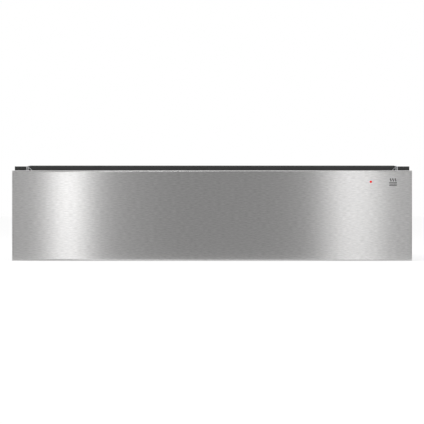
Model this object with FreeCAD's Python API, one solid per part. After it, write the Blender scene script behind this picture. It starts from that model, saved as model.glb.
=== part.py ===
import FreeCAD
import Part

import math
import os

# Built-in warming drawer, push to open, heated from below and by circulating air.
# X runs to the right seen from the front, Y to the back and Z up. The origin is on the floor of
# the niche, under the middle of the overall box. All sizes are in millimetres.

# ---------------------------------------------------------------- overall
CASE_WIDTH = 556.0          # over the side walls
CASE_DEPTH = 512.0          # mounting face to the outside of the back panel
CASE_HEIGHT = 142.5         # feet to top plate
SIDE_OVERLAP = 19.5         # front panel past each side wall
TOP_REVEAL = 7.7            # case top above the front panel
FRONT_FLOOR_GAP = 0.6       # front panel above the niche floor
FRONT_DEPTH = 20.0          # front panel with its liner
COVER_DEPTH = 14.0          # terminal cover behind the back panel
PUSH_TRAVEL = 2.5           # how far the closed drawer is pushed in to release it
BUFFER_HEIGHT = 1.2
STOP_PLAY = 0.3             # left between liner and buffers when pushed in

# ---------------------------------------------------------------- clearances
FIT = 0.2                   # pieces dropped into or beside each other
RUN_GAP = 0.3               # moving piece beside its guide
SHANK_PLAY = 0.05           # screws and rivets in their holes
BALL_PLAY = 0.05

# ---------------------------------------------------------------- case sheet metal
CASE_SHEET = 1.0
CASE_BEND = 0.8             # inside radius of each fold
SIDE_FLANGE = 14.0          # folded edges of the side walls
BASE_LIP = 3.0              # front upturn of the base plate
TOP_LIP = 8.0               # front downturn of the top plate
BEAD_RISE = 1.5             # pressed stiffening beads
BEAD_WIDTH = 20.0
BEAD_COUNT = 4
VENT_WIDTH = 4.0            # slots for cooling air
FOOT_HEIGHT = 1.0
FOOT_RADIUS = 6.0
FOOT_STEM = 2.5

# ---------------------------------------------------------------- front rail and mounting flanges
RAIL_DEPTH = 20.0
RAIL_DROP = 15.5            # front leg of the rail
RAIL_REAR_DROP = 8.0
RAIL_END_GAP = 2.8          # rail end to the outside of the side wall
RAIL_END_TAPER = 2.9        # sloping end of the rail's top edge
RAIL_END_FALL = 1.2
GUSSET_WIDTH = 9.9
GUSSET_DROP = 13.0
GUSSET_DEPTH = 15.0
GUSSET_BORDER = 0.9         # metal left round the gusset's window
FLANGE_REACH = 17.5         # mounting flange past the side wall
FLANGE_DEPTH = 25.0
FLANGE_TOP_GAP = 1.3        # flange top below the rail's top
FLANGE_LOW_GAP = 3.0        # flange bottom above the side wall's bottom
FIXING_INSET = 8.5          # wood-screw holes in from the flange's outer edge
FIXING_RISE = 70.0          # wood-screw holes, up
FIXING_RADIUS = 2.25
FIXING_LOW = 35.0           # lower holes above the niche floor
BUFFER_RADIUS = 5.0

# ---------------------------------------------------------------- runners
RUNNER_WIDTH = 13.0
RUNNER_HEIGHT = 45.0
RUNNER_LIFT = 34.5          # runner above the base plate
RUNNER_SETBACK = 3.0        # runner end behind the mounting face
RUNNER_END_GAP = 58.0       # runner end to the back panel
RUNNER_SHEET = 1.2          # webs
RUNNER_ARM = 1.6            # arms of the cabinet and drawer members
MIDDLE_ARM = 2.4            # arms of the middle member
RUNNER_REST = 1.4           # arm tips to the web they point at
BALL_RADIUS = 2.38
TRACK_DEPTH = 0.75          # how far each ball sits into an arm
CAGE_SHEET = 0.5
CAGE_GAP = 0.35             # cage web to the member beside it
CAGE_LENGTH = 150.0
BALL_COUNT = 8              # in each row

# ---------------------------------------------------------------- front panel
FRONT_SHEET = 1.0
FRONT_BEND = 2.0            # outside radius of the front's folded edges
CORNER_SEAM = 0.3           # slit where two folded edges meet
LINER_WALL = 2.0
LINER_COLUMNS = 12
LINER_ROWS = 3
LAMP_INSET = 61.5           # lamp centre from the panel's right edge
LAMP_DROP = 17.0            # lamp centre below the panel's top edge
LAMP_RADIUS = 1.6
LAMP_HOLE_PLAY = 0.1
LAMP_COLLAR = 3.0
BOARD_WIDTH = 18.0
BOARD_HEIGHT = 14.0
BOARD_SHEET = 1.6
BOARD_STAND = 4.0           # board in front of the liner's back wall
BOARD_BAY = 3.0             # clear space round the board, between the liner's ribs
LAMP_BODY = 5.5             # lamp's height on the board
CHIP_SIZE = 3.0
BRACKET_SHEET = 1.5
BRACKET_WIDTH = 28.0
BRACKET_HEIGHT = 56.0
BRACKET_REACH = 28.0        # bracket leg along the chassis wall

# ---------------------------------------------------------------- chassis and tray
CHASSIS_SHEET = 1.0
CHASSIS_LIFT = 4.0          # chassis above the base plate
CHASSIS_LIP = 12.0          # front upturn
REAR_SPACE = 52.0           # chassis back wall to the back panel
RIM_GAP = 2.0               # tray rim below the front rail
TRAY_SHEET = 0.8
TRAY_LIP = 11.2             # downturned edge of the tray's rim
SIDE_BAY = 33.0             # tray wall to the outside of the chassis
REAR_BAY = 66.0             # tray wall to the outside of the chassis back wall
FRONT_BAY = 7.0             # tray wall to the front liner
FLOOR_BAY = 31.2            # chassis floor to the underside of the tray
TRAY_CORNER = 20.0
TRAY_FLOOR_RADIUS = 8.0
RIM_ROLL = 2.0
MAT_HEIGHT = 2.0
MAT_MARGIN = 9.0
MAT_CORNER = 14.0

# ---------------------------------------------------------------- heating
HEATER_RADIUS = 3.2
HEATER_RUNS = 6
HEATER_MARGIN = 45.0        # outer runs in from the tray walls
HEATER_TURN = 20.0
PAD_AIR = 6.0               # floor heater above the insulation
CLIP_SHEET = 0.8
CLIP_EAR = 7.0
CLIP_WIDTH = 12.0
FAN_HALF_WIDTH = 156.0
FAN_BOX_DEPTH = 28.0
FAN_BOX_MARGIN = 6.0        # fan box below the rim, and above the tray's floor curve
FAN_FLANGE = 6.5
FAN_SHEET = 1.0
FAN_SLOT = 3.0              # openings in the fan cover
RING_RADIUS = 2.5
RING_INSET = 3.0            # ring heater to the fan box wall
IMPELLER_BLADES = 14
IMPELLER_GAP = 3.0          # impeller to the ring heater
IMPELLER_AIR = 5.5          # impeller to the fan cover, and to the fan box
SHAFT_RADIUS = 2.5
ROTOR_RADIUS = 12.3
MOTOR_HALF_WIDTH = 26.0
MOTOR_STACK = 18.0
MOTOR_STAND = 7.0           # motor core behind the fan box
COIL_BUILD = 5.0

# ---------------------------------------------------------------- controls in the tray's rim
POCKET_WIDTH = 26.0
POCKET_LENGTH = 139.0
POCKET_SETBACK = 15.5       # pocket behind the liner
POCKET_DEPTH = 15.0
POCKET_WALL = 1.5
POCKET_FLANGE = 1.2
POCKET_CORNER = 3.0
KNOB_RADIUS = 10.0
KNOB_HEIGHT = 11.6
KNOB_SETBACK = 104.5        # knob centre behind the pocket's front end
SWITCH_SETBACK = 39.5       # switch centre behind the pocket's front end
KNOB_GRIPS = 24
GRIP_RADIUS = 0.7
KNOB_SKIRT = 2.0            # plain band below the grips
POINTER_WIDTH = 1.2
POINTER_DEPTH = 0.4
SPINDLE_RADIUS = 3.0
THERMOSTAT_SIZE = 24.0
TAB_SHEET = 0.8             # push-on terminals
TAB_WIDTH = 4.8
TAB_LENGTH = 6.0
TAB_SPACING = 6.0
SWITCH_WIDTH = 12.9         # cut-out for the switch
SWITCH_LENGTH = 19.2
SWITCH_DEPTH = 20.0         # body below the pocket's floor
SWITCH_WELL = 8.0
BEZEL_HEIGHT = 2.0
BEZEL_BORDER = 1.0          # bezel past the cut-out
KEY_CREST = 3.2             # rocker's middle above its pivot
KEY_FOOT = 4.0
KEY_EDGE = 0.6
KEY_VALLEY = 4.0            # radius between the key's two halves
PIVOT_RISE = 0.5
SWITCH_TILT = 7.0           # rocker's lean each way, in degrees

# ---------------------------------------------------------------- latch, terminals and leads
LATCH_RADIUS = 5.0
LATCH_STROKE = 4.0
STRIKER_HEIGHT = 2.0
STRIKER_RADIUS = 10.0
LATCH_WIDTH = 30.0
LATCH_DEPTH = 38.0
LATCH_WALL = 4.0
SPRING_WIRE = 0.4
SPRING_TURNS = 8
TERMINAL_INSET = 73.0       # terminals in from the left side wall
POLE_SPACING = 12.0
POLE_BORE = 1.5
TERMINAL_HEIGHT = 16.0
TERMINAL_BASE = 5.0
TERMINAL_LIFT = 20.0        # lead passage above the base plate's underside
COVER_WIDTH = 80.0
COVER_HEIGHT = 60.0
COVER_WALL = 2.0
GLAND_RADIUS = 4.7
GLAND_BORE = 3.8
GLAND_LENGTH = 14.0
GLAND_NUT = 4.0
LOCK_NUT = 3.0
LEAD_RADIUS = 3.1
LEAD_BACK_GAP = 5.5         # lead's centre line to the back panel
LEAD_TURN_INSET = 78.0      # lead's far bend in from the right side wall
LEAD_ENTRY_X = 108.0
LEAD_BEND = 12.0
LEAD_CLIP_WIDTH = 8.0
LEAD_CLIP_WALL = 1.2
LOOM_RADIUS = 2.5

# ---------------------------------------------------------------- fasteners
SCREW_RADIUS = 1.5
SCREW_HEAD = 3.0
SCREW_HEAD_HEIGHT = 1.2
RIVET_RADIUS = 1.6
RIVET_HEAD = 3.2
RIVET_HEAD_HEIGHT = 1.0

# ---------------------------------------------------------------- places worked out from the sizes
TINY = 0.01
HALF_CASE = CASE_WIDTH / 2
HALF_INSIDE = HALF_CASE - CASE_SHEET
HALF_FRONT = HALF_CASE + SIDE_OVERLAP
PUSH_GAP = PUSH_TRAVEL + BUFFER_HEIGHT + STOP_PLAY
Y_FRONT = -(FRONT_DEPTH + PUSH_GAP + CASE_DEPTH + COVER_DEPTH) / 2
Y_LINER = Y_FRONT + FRONT_DEPTH
Y_CASE = Y_LINER + PUSH_GAP
Y_BACK = Y_CASE + CASE_DEPTH
Y_BACK_IN = Y_BACK - CASE_SHEET
Z_SIDE = FOOT_HEIGHT
Z_BASE = Z_SIDE + CASE_SHEET
Z_FLOOR = Z_BASE + CASE_SHEET
Z_TOP_IN = CASE_HEIGHT - CASE_SHEET
Z_FRONT = (FRONT_FLOOR_GAP, CASE_HEIGHT - TOP_REVEAL)
BASE_HALF = HALF_INSIDE - CASE_BEND - FIT
FLANGE_IN = HALF_CASE - SIDE_FLANGE
RAIL_REACH = HALF_CASE - RAIL_END_GAP
Y_RAIL_BACK = Y_CASE + RAIL_DEPTH
FIXING_X = HALF_CASE + FLANGE_REACH - FIXING_INSET
Z_RUNNER = Z_FLOOR + RUNNER_LIFT + RUNNER_HEIGHT / 2
Y_RUNNER = (Y_CASE + RUNNER_SETBACK, Y_BACK_IN - RUNNER_END_GAP)

HALF_CHASSIS = HALF_INSIDE - RUNNER_WIDTH
HALF_BAY = HALF_CHASSIS - CHASSIS_SHEET
Z_CHASSIS = Z_FLOOR + CHASSIS_LIFT
Z_CHASSIS_IN = Z_CHASSIS + CHASSIS_SHEET
Z_RIM = CASE_HEIGHT - RAIL_DROP - RIM_GAP
Z_RIM_LOW = Z_RIM - TRAY_SHEET
Y_CHASSIS = (Y_LINER + BRACKET_SHEET, Y_BACK_IN - REAR_SPACE)
HALF_TUB = HALF_CHASSIS - SIDE_BAY
Y_TUB = (Y_LINER + FRONT_BAY, Y_CHASSIS[1] - REAR_BAY)
Z_TUB = Z_CHASSIS_IN + FLOOR_BAY + TRAY_SHEET
Y_TUB_OUT = Y_TUB[1] + TRAY_SHEET
HALF_RIM = HALF_CHASSIS + FIT + TRAY_SHEET
Y_RIM = (Y_LINER + FIT + RUN_GAP, Y_CHASSIS[1] + FIT + TRAY_SHEET)
Z_HEATER = Z_TUB - TRAY_SHEET - RUN_GAP - HEATER_RADIUS

Z_FAN = (Z_TUB + TRAY_FLOOR_RADIUS + FAN_BOX_MARGIN, Z_RIM - FAN_BOX_MARGIN)
FAN_MIDDLE = sum(Z_FAN) / 2
Y_FAN = (Y_TUB_OUT, Y_TUB_OUT + FAN_BOX_DEPTH)
RING_BEND = (Z_FAN[1] - Z_FAN[0]) / 2 - FAN_SHEET - RING_INSET - RING_RADIUS
IMPELLER_RADIUS = RING_BEND - RING_RADIUS - IMPELLER_GAP
Y_IMPELLER = (Y_FAN[0] + IMPELLER_AIR, Y_FAN[1] - IMPELLER_AIR)
Y_MOTOR = (Y_FAN[1] + MOTOR_STAND, Y_FAN[1] + MOTOR_STAND + MOTOR_STACK)

POCKET_X = (HALF_TUB + HALF_CHASSIS) / 2
Y_POCKET = (Y_LINER + POCKET_SETBACK, Y_LINER + POCKET_SETBACK + POCKET_LENGTH)
Z_POCKET = Z_RIM - POCKET_DEPTH
Y_KNOB = Y_POCKET[0] + KNOB_SETBACK
Y_SWITCH = Y_POCKET[0] + SWITCH_SETBACK
LAMP_X = HALF_FRONT - LAMP_INSET
LAMP_Z = Z_FRONT[1] - LAMP_DROP
Y_BOARD = Y_LINER - LINER_WALL - BOARD_STAND

Y_LATCH_TIP = Y_CHASSIS[1] + STRIKER_HEIGHT + PUSH_TRAVEL + STOP_PLAY
Z_LATCH = Z_RUNNER
Z_LEAD = Z_BASE + TERMINAL_LIFT
Y_LEAD = Y_BACK_IN - LEAD_BACK_GAP
Y_LEAD_IN = Y_CHASSIS[1] + LEAD_BEND + PUSH_TRAVEL
Z_COVER = (Z_SIDE + FOOT_STEM + 2 * SCREW_HEAD, Z_SIDE + FOOT_STEM + 2 * SCREW_HEAD + COVER_HEIGHT)
TERMINAL_X = TERMINAL_INSET - HALF_CASE
LEAD_TURN_X = HALF_CASE - LEAD_TURN_INSET
COVER_X = (TERMINAL_X - COVER_WIDTH / 2, TERMINAL_X + COVER_WIDTH / 2)

AXES = {"x": FreeCAD.Vector(1, 0, 0), "y": FreeCAD.Vector(0, 1, 0), "z": FreeCAD.Vector(0, 0, 1)}


# ---------------------------------------------------------------- shape helpers
def around(centre, width):
    """The low and high ends of a width about its centre."""
    return (centre - width / 2, centre + width / 2)


def spread(low, high, count):
    """Evenly spaced places from low to high, ends included."""
    return [low + (high - low) * step / (count - 1) for step in range(count)]


def block(x, y, z):
    """A plain block between the low and high ends given on each axis."""
    corner = FreeCAD.Vector(x[0], y[0], z[0])
    return Part.makeBox(x[1] - x[0], y[1] - y[0], z[1] - z[0], corner)


def rod(start, axis, length, radius):
    """A round bar that runs from its start point along an axis."""
    return Part.makeCylinder(radius, length, FreeCAD.Vector(*start), AXES[axis])


def taper(start, axis, length, first_radius, last_radius):
    """A cone that runs from its start point along an axis."""
    return Part.makeCone(first_radius, last_radius, length, FreeCAD.Vector(*start), AXES[axis])


def joined(pieces):
    """One solid made of touching or overlapping pieces."""
    return pieces[0].fuse(pieces[1:]).removeSplitter()


def group(pieces):
    """Separate solids kept together."""
    return Part.makeCompound(pieces)


def mirrored(shape):
    """The left-hand twin of a right-hand piece."""
    return shape.mirror(FreeCAD.Vector(0, 0, 0), AXES["x"])


def both_sides(shapes):
    """Right-hand shapes and their left-hand twins."""
    return shapes + [mirrored(shape) for shape in shapes]


def wire(points, radii, closed):
    """Straight runs through points, with a tangent arc of the given radius at each point."""
    starts = []
    ends = []
    edges = []
    for index, here in enumerate(points):
        if radii[index] == 0:
            starts.append(here)
            ends.append(here)
            continue
        to_last = (points[index - 1] - here).normalize()
        to_next = (points[(index + 1) % len(points)] - here).normalize()
        half_angle = to_last.getAngle(to_next) / 2
        reach = radii[index] / math.tan(half_angle)
        crown = radii[index] / math.sin(half_angle) - radii[index]
        start = here + to_last * reach
        end = here + to_next * reach
        middle = here + (to_last + to_next).normalize() * crown
        edges.append(Part.Arc(start, middle, end).toShape())
        starts.append(start)
        ends.append(end)
    runs = len(points) if closed else len(points) - 1
    for index in range(runs):
        target = starts[(index + 1) % len(points)]
        if ends[index].distanceToPoint(target) > TINY:
            edges.append(Part.LineSegment(ends[index], target).toShape())
    return Part.Wire(Part.__sortEdges__(edges))


def in_plane(plane, first, second, third):
    """A point from its two values in a plane and its third value off it."""
    if plane == "xy":
        return FreeCAD.Vector(first, second, third)
    if plane == "xz":
        return FreeCAD.Vector(first, third, second)
    return FreeCAD.Vector(third, first, second)


def prism(corners, plane, span, radii=0):
    """An outline in a plane, with its corners rounded, carried over a span of the third axis."""
    points = [in_plane(plane, first, second, span[0]) for first, second in corners]
    if not isinstance(radii, list):
        radii = [radii] * len(corners)
    face = Part.Face(wire(points, radii, True))
    return face.extrude(in_plane(plane, 0, 0, span[1] - span[0]))


def slab(first, second, plane, span, radius=0):
    """A rectangular prism with rounded corners; with full radii it is a slot."""
    corners = [(first[0], second[0]), (first[1], second[0])]
    corners += [(first[1], second[1]), (first[0], second[1])]
    return prism(corners, plane, span, radius)


def folded(path, plane, span, sheet, bend):
    """A sheet folded along its centre line, with the inside radius bend at each fold."""
    sides = ([], [])
    radii = ([], [])
    last = len(path) - 1
    for index, point in enumerate(path):
        back = max(index, 1)
        front = min(index, last - 1)
        before = unit(path[back - 1], path[back])
        after = unit(path[front], path[front + 1])
        share = sheet / 2 / (1 + before[0] * after[0] + before[1] * after[1])
        shift = (-(before[1] + after[1]) * share, (before[0] + after[0]) * share)
        turn = before[0] * after[1] - before[1] * after[0]
        for side, sign in ((0, 1), (1, -1)):
            sides[side].append((point[0] + sign * shift[0], point[1] + sign * shift[1]))
            fold = bend if turn * sign > 0 else bend + sheet
            radii[side].append(fold if abs(turn) > TINY else 0)
    return prism(sides[0] + sides[1][::-1], plane, span, radii[0] + radii[1][::-1])


def unit(start, end):
    """The direction from one flat point to another, with length one."""
    length = math.hypot(end[0] - start[0], end[1] - start[1])
    return ((end[0] - start[0]) / length, (end[1] - start[1]) / length)


def tube(points, bends, radius):
    """A round bar of straight runs joined by tangent arcs; bends has one radius per inner point."""
    corners = [FreeCAD.Vector(*point) for point in points]
    if not isinstance(bends, list):
        bends = [bends] * (len(points) - 2)
    spine = wire(corners, [0] + bends + [0], False)
    section = Part.Wire(Part.Circle(corners[0], corners[1] - corners[0], radius).toShape())
    return spine.makePipeShell([section], True, False)


def flat_edges(shape, z):
    """The edges of a shape that lie flat at one height."""
    found = []
    for edge in shape.Edges:
        if abs(edge.BoundBox.ZMin - z) < TINY and abs(edge.BoundBox.ZMax - z) < TINY:
            found.append(edge)
    return found


def turned(shape, place, direction):
    """A shape built along +Z from the origin, turned to a direction and moved to its place."""
    turn = FreeCAD.Rotation(AXES["z"], FreeCAD.Vector(*direction))
    shape.Placement = FreeCAD.Placement(FreeCAD.Vector(*place), turn)
    return shape


def screw(place, direction, length, flush=False):
    """A cross-head screw; place is on the clamped surface and the shank runs along direction."""
    shank = rod((0, 0, 0), "z", length, SCREW_RADIUS)
    if flush:
        sink = SCREW_HEAD - SCREW_RADIUS
        head = taper((0, 0, 0), "z", sink, SCREW_HEAD, SCREW_RADIUS)
        crown = 0
    else:
        head = rod((0, 0, -SCREW_HEAD_HEIGHT), "z", SCREW_HEAD_HEIGHT, SCREW_HEAD)
        rim = flat_edges(head, -SCREW_HEAD_HEIGHT)
        head = head.makeFillet(SCREW_HEAD_HEIGHT / 2, rim)
        crown = -SCREW_HEAD_HEIGHT
    cross_depth = (crown - TINY, crown + SCREW_HEAD_HEIGHT / 2)
    arm = around(0, SCREW_RADIUS * 2)
    bar = around(0, SCREW_RADIUS / 2)
    whole = joined([head, shank])
    whole = whole.cut([block(arm, bar, cross_depth), block(bar, arm, cross_depth)])
    return turned(whole, place, direction)


def screw_hole(place, direction, length, flush=False):
    """The hole that a screw goes through."""
    hole = rod((0, 0, -TINY), "z", length + 2 * TINY, SCREW_RADIUS + SHANK_PLAY)
    if flush:
        sink = SCREW_HEAD - SCREW_RADIUS
        wide = SCREW_HEAD + SHANK_PLAY
        hole = hole.fuse(taper((0, 0, 0), "z", sink, wide, SCREW_RADIUS + SHANK_PLAY))
    return turned(hole, place, direction)


def rivet(place, direction, length):
    """A domed rivet; place is on the riveted surface and the shank runs along direction."""
    head = rod((0, 0, -RIVET_HEAD_HEIGHT), "z", RIVET_HEAD_HEIGHT, RIVET_HEAD)
    rim = flat_edges(head, -RIVET_HEAD_HEIGHT)
    head = head.makeFillet(RIVET_HEAD_HEIGHT * 0.8, rim)
    return turned(joined([head, rod((0, 0, 0), "z", length, RIVET_RADIUS)]), place, direction)


def rivet_hole(place, direction, length):
    """The hole that a rivet fills."""
    hole = rod((0, 0, -TINY), "z", length + 2 * TINY, RIVET_RADIUS + SHANK_PLAY)
    return turned(hole, place, direction)


# ---------------------------------------------------------------- fastener places
def flange_rivets():
    """Rivets through the right mounting flange and side wall: places, direction, length."""
    y = Y_CASE + FLANGE_DEPTH / 2
    low = Z_SIDE + SIDE_FLANGE
    high = Z_RUNNER + RUNNER_HEIGHT / 2 + SIDE_FLANGE * 2
    return [((HALF_CASE + CASE_SHEET, y, z), (-1, 0, 0), 2 * CASE_SHEET) for z in (low, high)]


def runner_rivets():
    """Rivets through the right side wall and the cabinet runner's web."""
    inset = RUNNER_HEIGHT
    places = spread(Y_RUNNER[0] + inset, Y_RUNNER[1] - inset / 2, 4)
    length = CASE_SHEET + RUNNER_SHEET
    return [((HALF_CASE, y, Z_RUNNER), (-1, 0, 0), length) for y in places]


def top_screws():
    """Flush screws through the top plate and the right side wall's top flange."""
    inset = 2 * SIDE_FLANGE
    x = FLANGE_IN + SIDE_FLANGE / 2
    places = spread(Y_RAIL_BACK + inset, Y_BACK - inset, 3)
    return [((x, y, CASE_HEIGHT), (0, 0, -1), 3 * CASE_SHEET) for y in places]


def rail_screws():
    """Flush screw through the right end of the rail and the side wall's top flange."""
    x = FLANGE_IN + SIDE_FLANGE / 3
    y = Y_CASE + RAIL_DEPTH * 0.6
    return [((x, y, CASE_HEIGHT), (0, 0, -1), 3 * CASE_SHEET)]


def back_screws():
    """Screws through the back panel and the right side wall's rear flange."""
    x = FLANGE_IN + SIDE_FLANGE / 2
    inset = SIDE_FLANGE * 1.5
    places = spread(Z_SIDE + inset, Z_TOP_IN - inset, 3)
    return [((x, Y_BACK, z), (0, -1, 0), 4 * CASE_SHEET) for z in places]


def latch_screws():
    """Screws through the back panel into the latch housing."""
    reach = LATCH_WIDTH / 2 - SCREW_HEAD
    length = CASE_SHEET + LATCH_WALL
    return [((x, Y_BACK, Z_LATCH), (0, -1, 0), length) for x in (-reach, reach)]


def cover_screws():
    """Screws through the terminal cover's tabs and the back panel."""
    y = Y_BACK + COVER_WALL
    length = COVER_WALL + 2 * CASE_SHEET
    lows = (Z_COVER[0] - SCREW_HEAD, Z_COVER[1] + SCREW_HEAD)
    return [((TERMINAL_X, y, z), (0, -1, 0), length) for z in lows]


def liner_screws():
    """Screws from the right front bracket into the liner."""
    x = HALF_BAY - BRACKET_WIDTH / 2
    inset = BRACKET_HEIGHT / 5
    z = Z_FLOOR + RUNNER_LIFT
    places = around(z, BRACKET_HEIGHT - 2 * inset)
    return [((x, Y_CHASSIS[0], place), (0, -1, 0), BRACKET_SHEET + LINER_WALL) for place in places]


def bracket_screws():
    """Screws from the right front bracket through the chassis wall."""
    y = Y_CHASSIS[0] + BRACKET_REACH - 2 * SCREW_HEAD
    z = Z_FLOOR + RUNNER_LIFT
    places = (z - 2 * SCREW_HEAD, z + RUNNER_HEIGHT / 2)
    length = BRACKET_SHEET + CHASSIS_SHEET
    x = HALF_BAY - BRACKET_SHEET
    return [((x, y, place), (1, 0, 0), length) for place in places]


def slide_screws():
    """Screws from inside the chassis into the right drawer runner."""
    low = Y_CHASSIS[0] + BRACKET_REACH + 4 * SCREW_HEAD
    places = spread(low, Y_RUNNER[1] - 4 * SCREW_HEAD, 4)
    length = CHASSIS_SHEET + RUNNER_SHEET
    return [((HALF_BAY, y, Z_RUNNER), (1, 0, 0), length) for y in places]


def lip_screws():
    """Screws through the tray's right lip and the chassis wall."""
    z = Z_RIM - TRAY_SHEET - TRAY_LIP / 2
    inset = TRAY_LIP * 2
    places = spread(Y_CHASSIS[0] + inset, Y_CHASSIS[1] - inset, 4)
    length = TRAY_SHEET + FIT + CHASSIS_SHEET
    return [((HALF_RIM, y, z), (-1, 0, 0), length) for y in places]


def fan_screws():
    """Screws through the fan cover, the tray and the fan box's flange."""
    reach = FAN_HALF_WIDTH + FAN_FLANGE / 2
    inset = FAN_FLANGE * 1.5
    length = FAN_SHEET + TRAY_SHEET + FAN_SHEET
    heights = (Z_FAN[0] + inset, Z_FAN[1] - inset)
    y = Y_TUB[1] - FAN_SHEET
    return [((x, y, z), (0, 1, 0), length) for x in (-reach, reach) for z in heights]


# ---------------------------------------------------------------- case
def case_side():
    """Right side wall: a C-shaped sheet with folded top, bottom and rear flanges."""
    half = CASE_SHEET / 2
    outer = HALF_CASE - half
    inner = FLANGE_IN
    low = Z_SIDE + half
    high = Z_TOP_IN - half
    path = [(inner, low), (outer, low), (outer, high), (inner, high)]
    wall = folded(path, "xz", (Y_CASE, Y_BACK_IN), CASE_SHEET, CASE_BEND)
    rear_y = (Y_BACK_IN - CASE_SHEET, Y_BACK_IN)
    rear = block((FLANGE_IN, HALF_INSIDE + half), rear_y, (low, high))
    step_y = (Y_CASE - TINY, Y_CASE + CASE_SHEET + CASE_BEND + FIT)
    step_z = (Z_TOP_IN - CASE_SHEET - CASE_BEND, Z_TOP_IN + TINY)
    step = block((FLANGE_IN - TINY, HALF_INSIDE), step_y, step_z)
    cuts = [step]
    cuts += [rivet_hole(*place) for place in flange_rivets() + runner_rivets()]
    for place, direction, length in top_screws() + rail_screws() + back_screws():
        cuts.append(screw_hole(place, direction, length, direction[2] != 0))
    cuts += [foot_hole(x, y) for x, y in foot_places()]
    return joined([wall, rear]).cut(cuts)


def foot_places():
    """Centres of the right-hand glide feet."""
    inset = SIDE_FLANGE * 2
    x = FLANGE_IN + FOOT_RADIUS
    return [(x, y) for y in spread(Y_CASE + inset, Y_BACK_IN - inset, 3)]


def foot_hole(x, y):
    """Hole for a foot's stem."""
    return rod((x, y, 0), "z", Z_FLOOR + TINY, FOOT_STEM + SHANK_PLAY)


def glide_feet():
    """Plastic glide feet, pressed up through the side flanges and the base plate."""
    feet = []
    for x, y in foot_places():
        disc = rod((x, y, 0), "z", FOOT_HEIGHT, FOOT_RADIUS)
        stem = rod((x, y, 0), "z", Z_FLOOR, FOOT_STEM)
        head = rod((x, y, Z_FLOOR), "z", FOOT_HEIGHT, FOOT_STEM * 1.5)
        feet.append(joined([disc, stem, head]))
    return group(both_sides(feet))


def bead(x, y, z, rise):
    """A pressed bead: what it adds to a sheet and what it takes away from below."""
    half = BEAD_WIDTH / 2
    outer = slab(x, y, "xy", (z + CASE_SHEET / 2, z + CASE_SHEET + rise), half - TINY)
    inner_x = (x[0] + CASE_SHEET, x[1] - CASE_SHEET)
    inner_y = (y[0] + CASE_SHEET, y[1] - CASE_SHEET)
    inner = slab(inner_x, inner_y, "xy", (z - TINY, z + rise), half - CASE_SHEET - TINY)
    return outer, inner


def vent_slots(x_places, second, plane, span):
    """A row of narrow round-ended slots through a sheet."""
    end = VENT_WIDTH / 2 - TINY
    return [slab(around(x, VENT_WIDTH), second, plane, span, end) for x in x_places]


def case_base():
    """Base plate with a front upturn, long beads and vent slots, welded on the side flanges."""
    half = CASE_SHEET / 2
    rear = Y_BACK_IN - CASE_SHEET - FIT
    path = [(Y_CASE + half, Z_FLOOR + BASE_LIP), (Y_CASE + half, Z_BASE + half)]
    path.append((rear, Z_BASE + half))
    plate = folded(path, "yz", (-BASE_HALF, BASE_HALF), CASE_SHEET, CASE_BEND)
    adds = []
    cuts = []
    for x in spread(-HALF_CASE * 0.6, HALF_CASE * 0.6, BEAD_COUNT):
        long_y = (Y_CASE + BEAD_WIDTH * 2, Y_BACK_IN - BEAD_WIDTH * 4)
        outer, inner = bead(around(x, BEAD_WIDTH), long_y, Z_BASE, BEAD_RISE)
        adds.append(outer)
        cuts.append(inner)
    slots = spread(-HALF_CASE * 0.12, HALF_CASE * 0.12, 8)
    for centre in (-CASE_DEPTH / 8, CASE_DEPTH / 8):
        slot_y = around(centre, BEAD_WIDTH * 2)
        cuts += vent_slots(slots, slot_y, "xy", (Z_BASE - TINY, Z_FLOOR + TINY))
    cuts += [foot_hole(x * side, y) for x, y in foot_places() for side in (-1, 1)]
    return joined([plate] + adds).cut(cuts)


def case_top():
    """Top plate with a front downturn, recessed beads and vent slots."""
    front = Y_RAIL_BACK + FIT
    top_z = (Z_TOP_IN, CASE_HEIGHT)
    plate = block((-HALF_CASE, HALF_CASE), (front, Y_BACK), top_z)
    lip_half = FLANGE_IN - RUN_GAP - CASE_SHEET
    lip_z = (CASE_HEIGHT - TOP_LIP, CASE_HEIGHT)
    lip = block((-lip_half, lip_half), (front, front + CASE_SHEET), lip_z)
    adds = [lip]
    cuts = []
    for x in spread(-HALF_CASE * 0.6, HALF_CASE * 0.6, BEAD_COUNT):
        long_y = (Y_RAIL_BACK + BEAD_WIDTH * 2, Y_BACK_IN - BEAD_WIDTH * 4)
        span_x = around(x, BEAD_WIDTH)
        inner_x = (span_x[0] + CASE_SHEET, span_x[1] - CASE_SHEET)
        inner_y = (long_y[0] + CASE_SHEET, long_y[1] - CASE_SHEET)
        under = (Z_TOP_IN - BEAD_RISE, Z_TOP_IN + CASE_SHEET / 2)
        hollow = (CASE_HEIGHT - BEAD_RISE, CASE_HEIGHT + TINY)
        adds.append(slab(span_x, long_y, "xy", under, BEAD_WIDTH / 2 - TINY))
        round_end = BEAD_WIDTH / 2 - CASE_SHEET - TINY
        cuts.append(slab(inner_x, inner_y, "xy", hollow, round_end))
    slots = spread(-HALF_CASE * 0.35, HALF_CASE * 0.35, 20)
    slot_y = (Y_BACK_IN - BEAD_WIDTH * 3, Y_BACK_IN - BEAD_WIDTH * 1.5)
    cuts += vent_slots(slots, slot_y, "xy", (Z_TOP_IN - TINY, CASE_HEIGHT + TINY))
    for place, direction, length in top_screws():
        for side in (-1, 1):
            there = (place[0] * side, place[1], place[2])
            cuts.append(screw_hole(there, direction, length, True))
    return joined([plate] + adds).cut(cuts)


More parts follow.
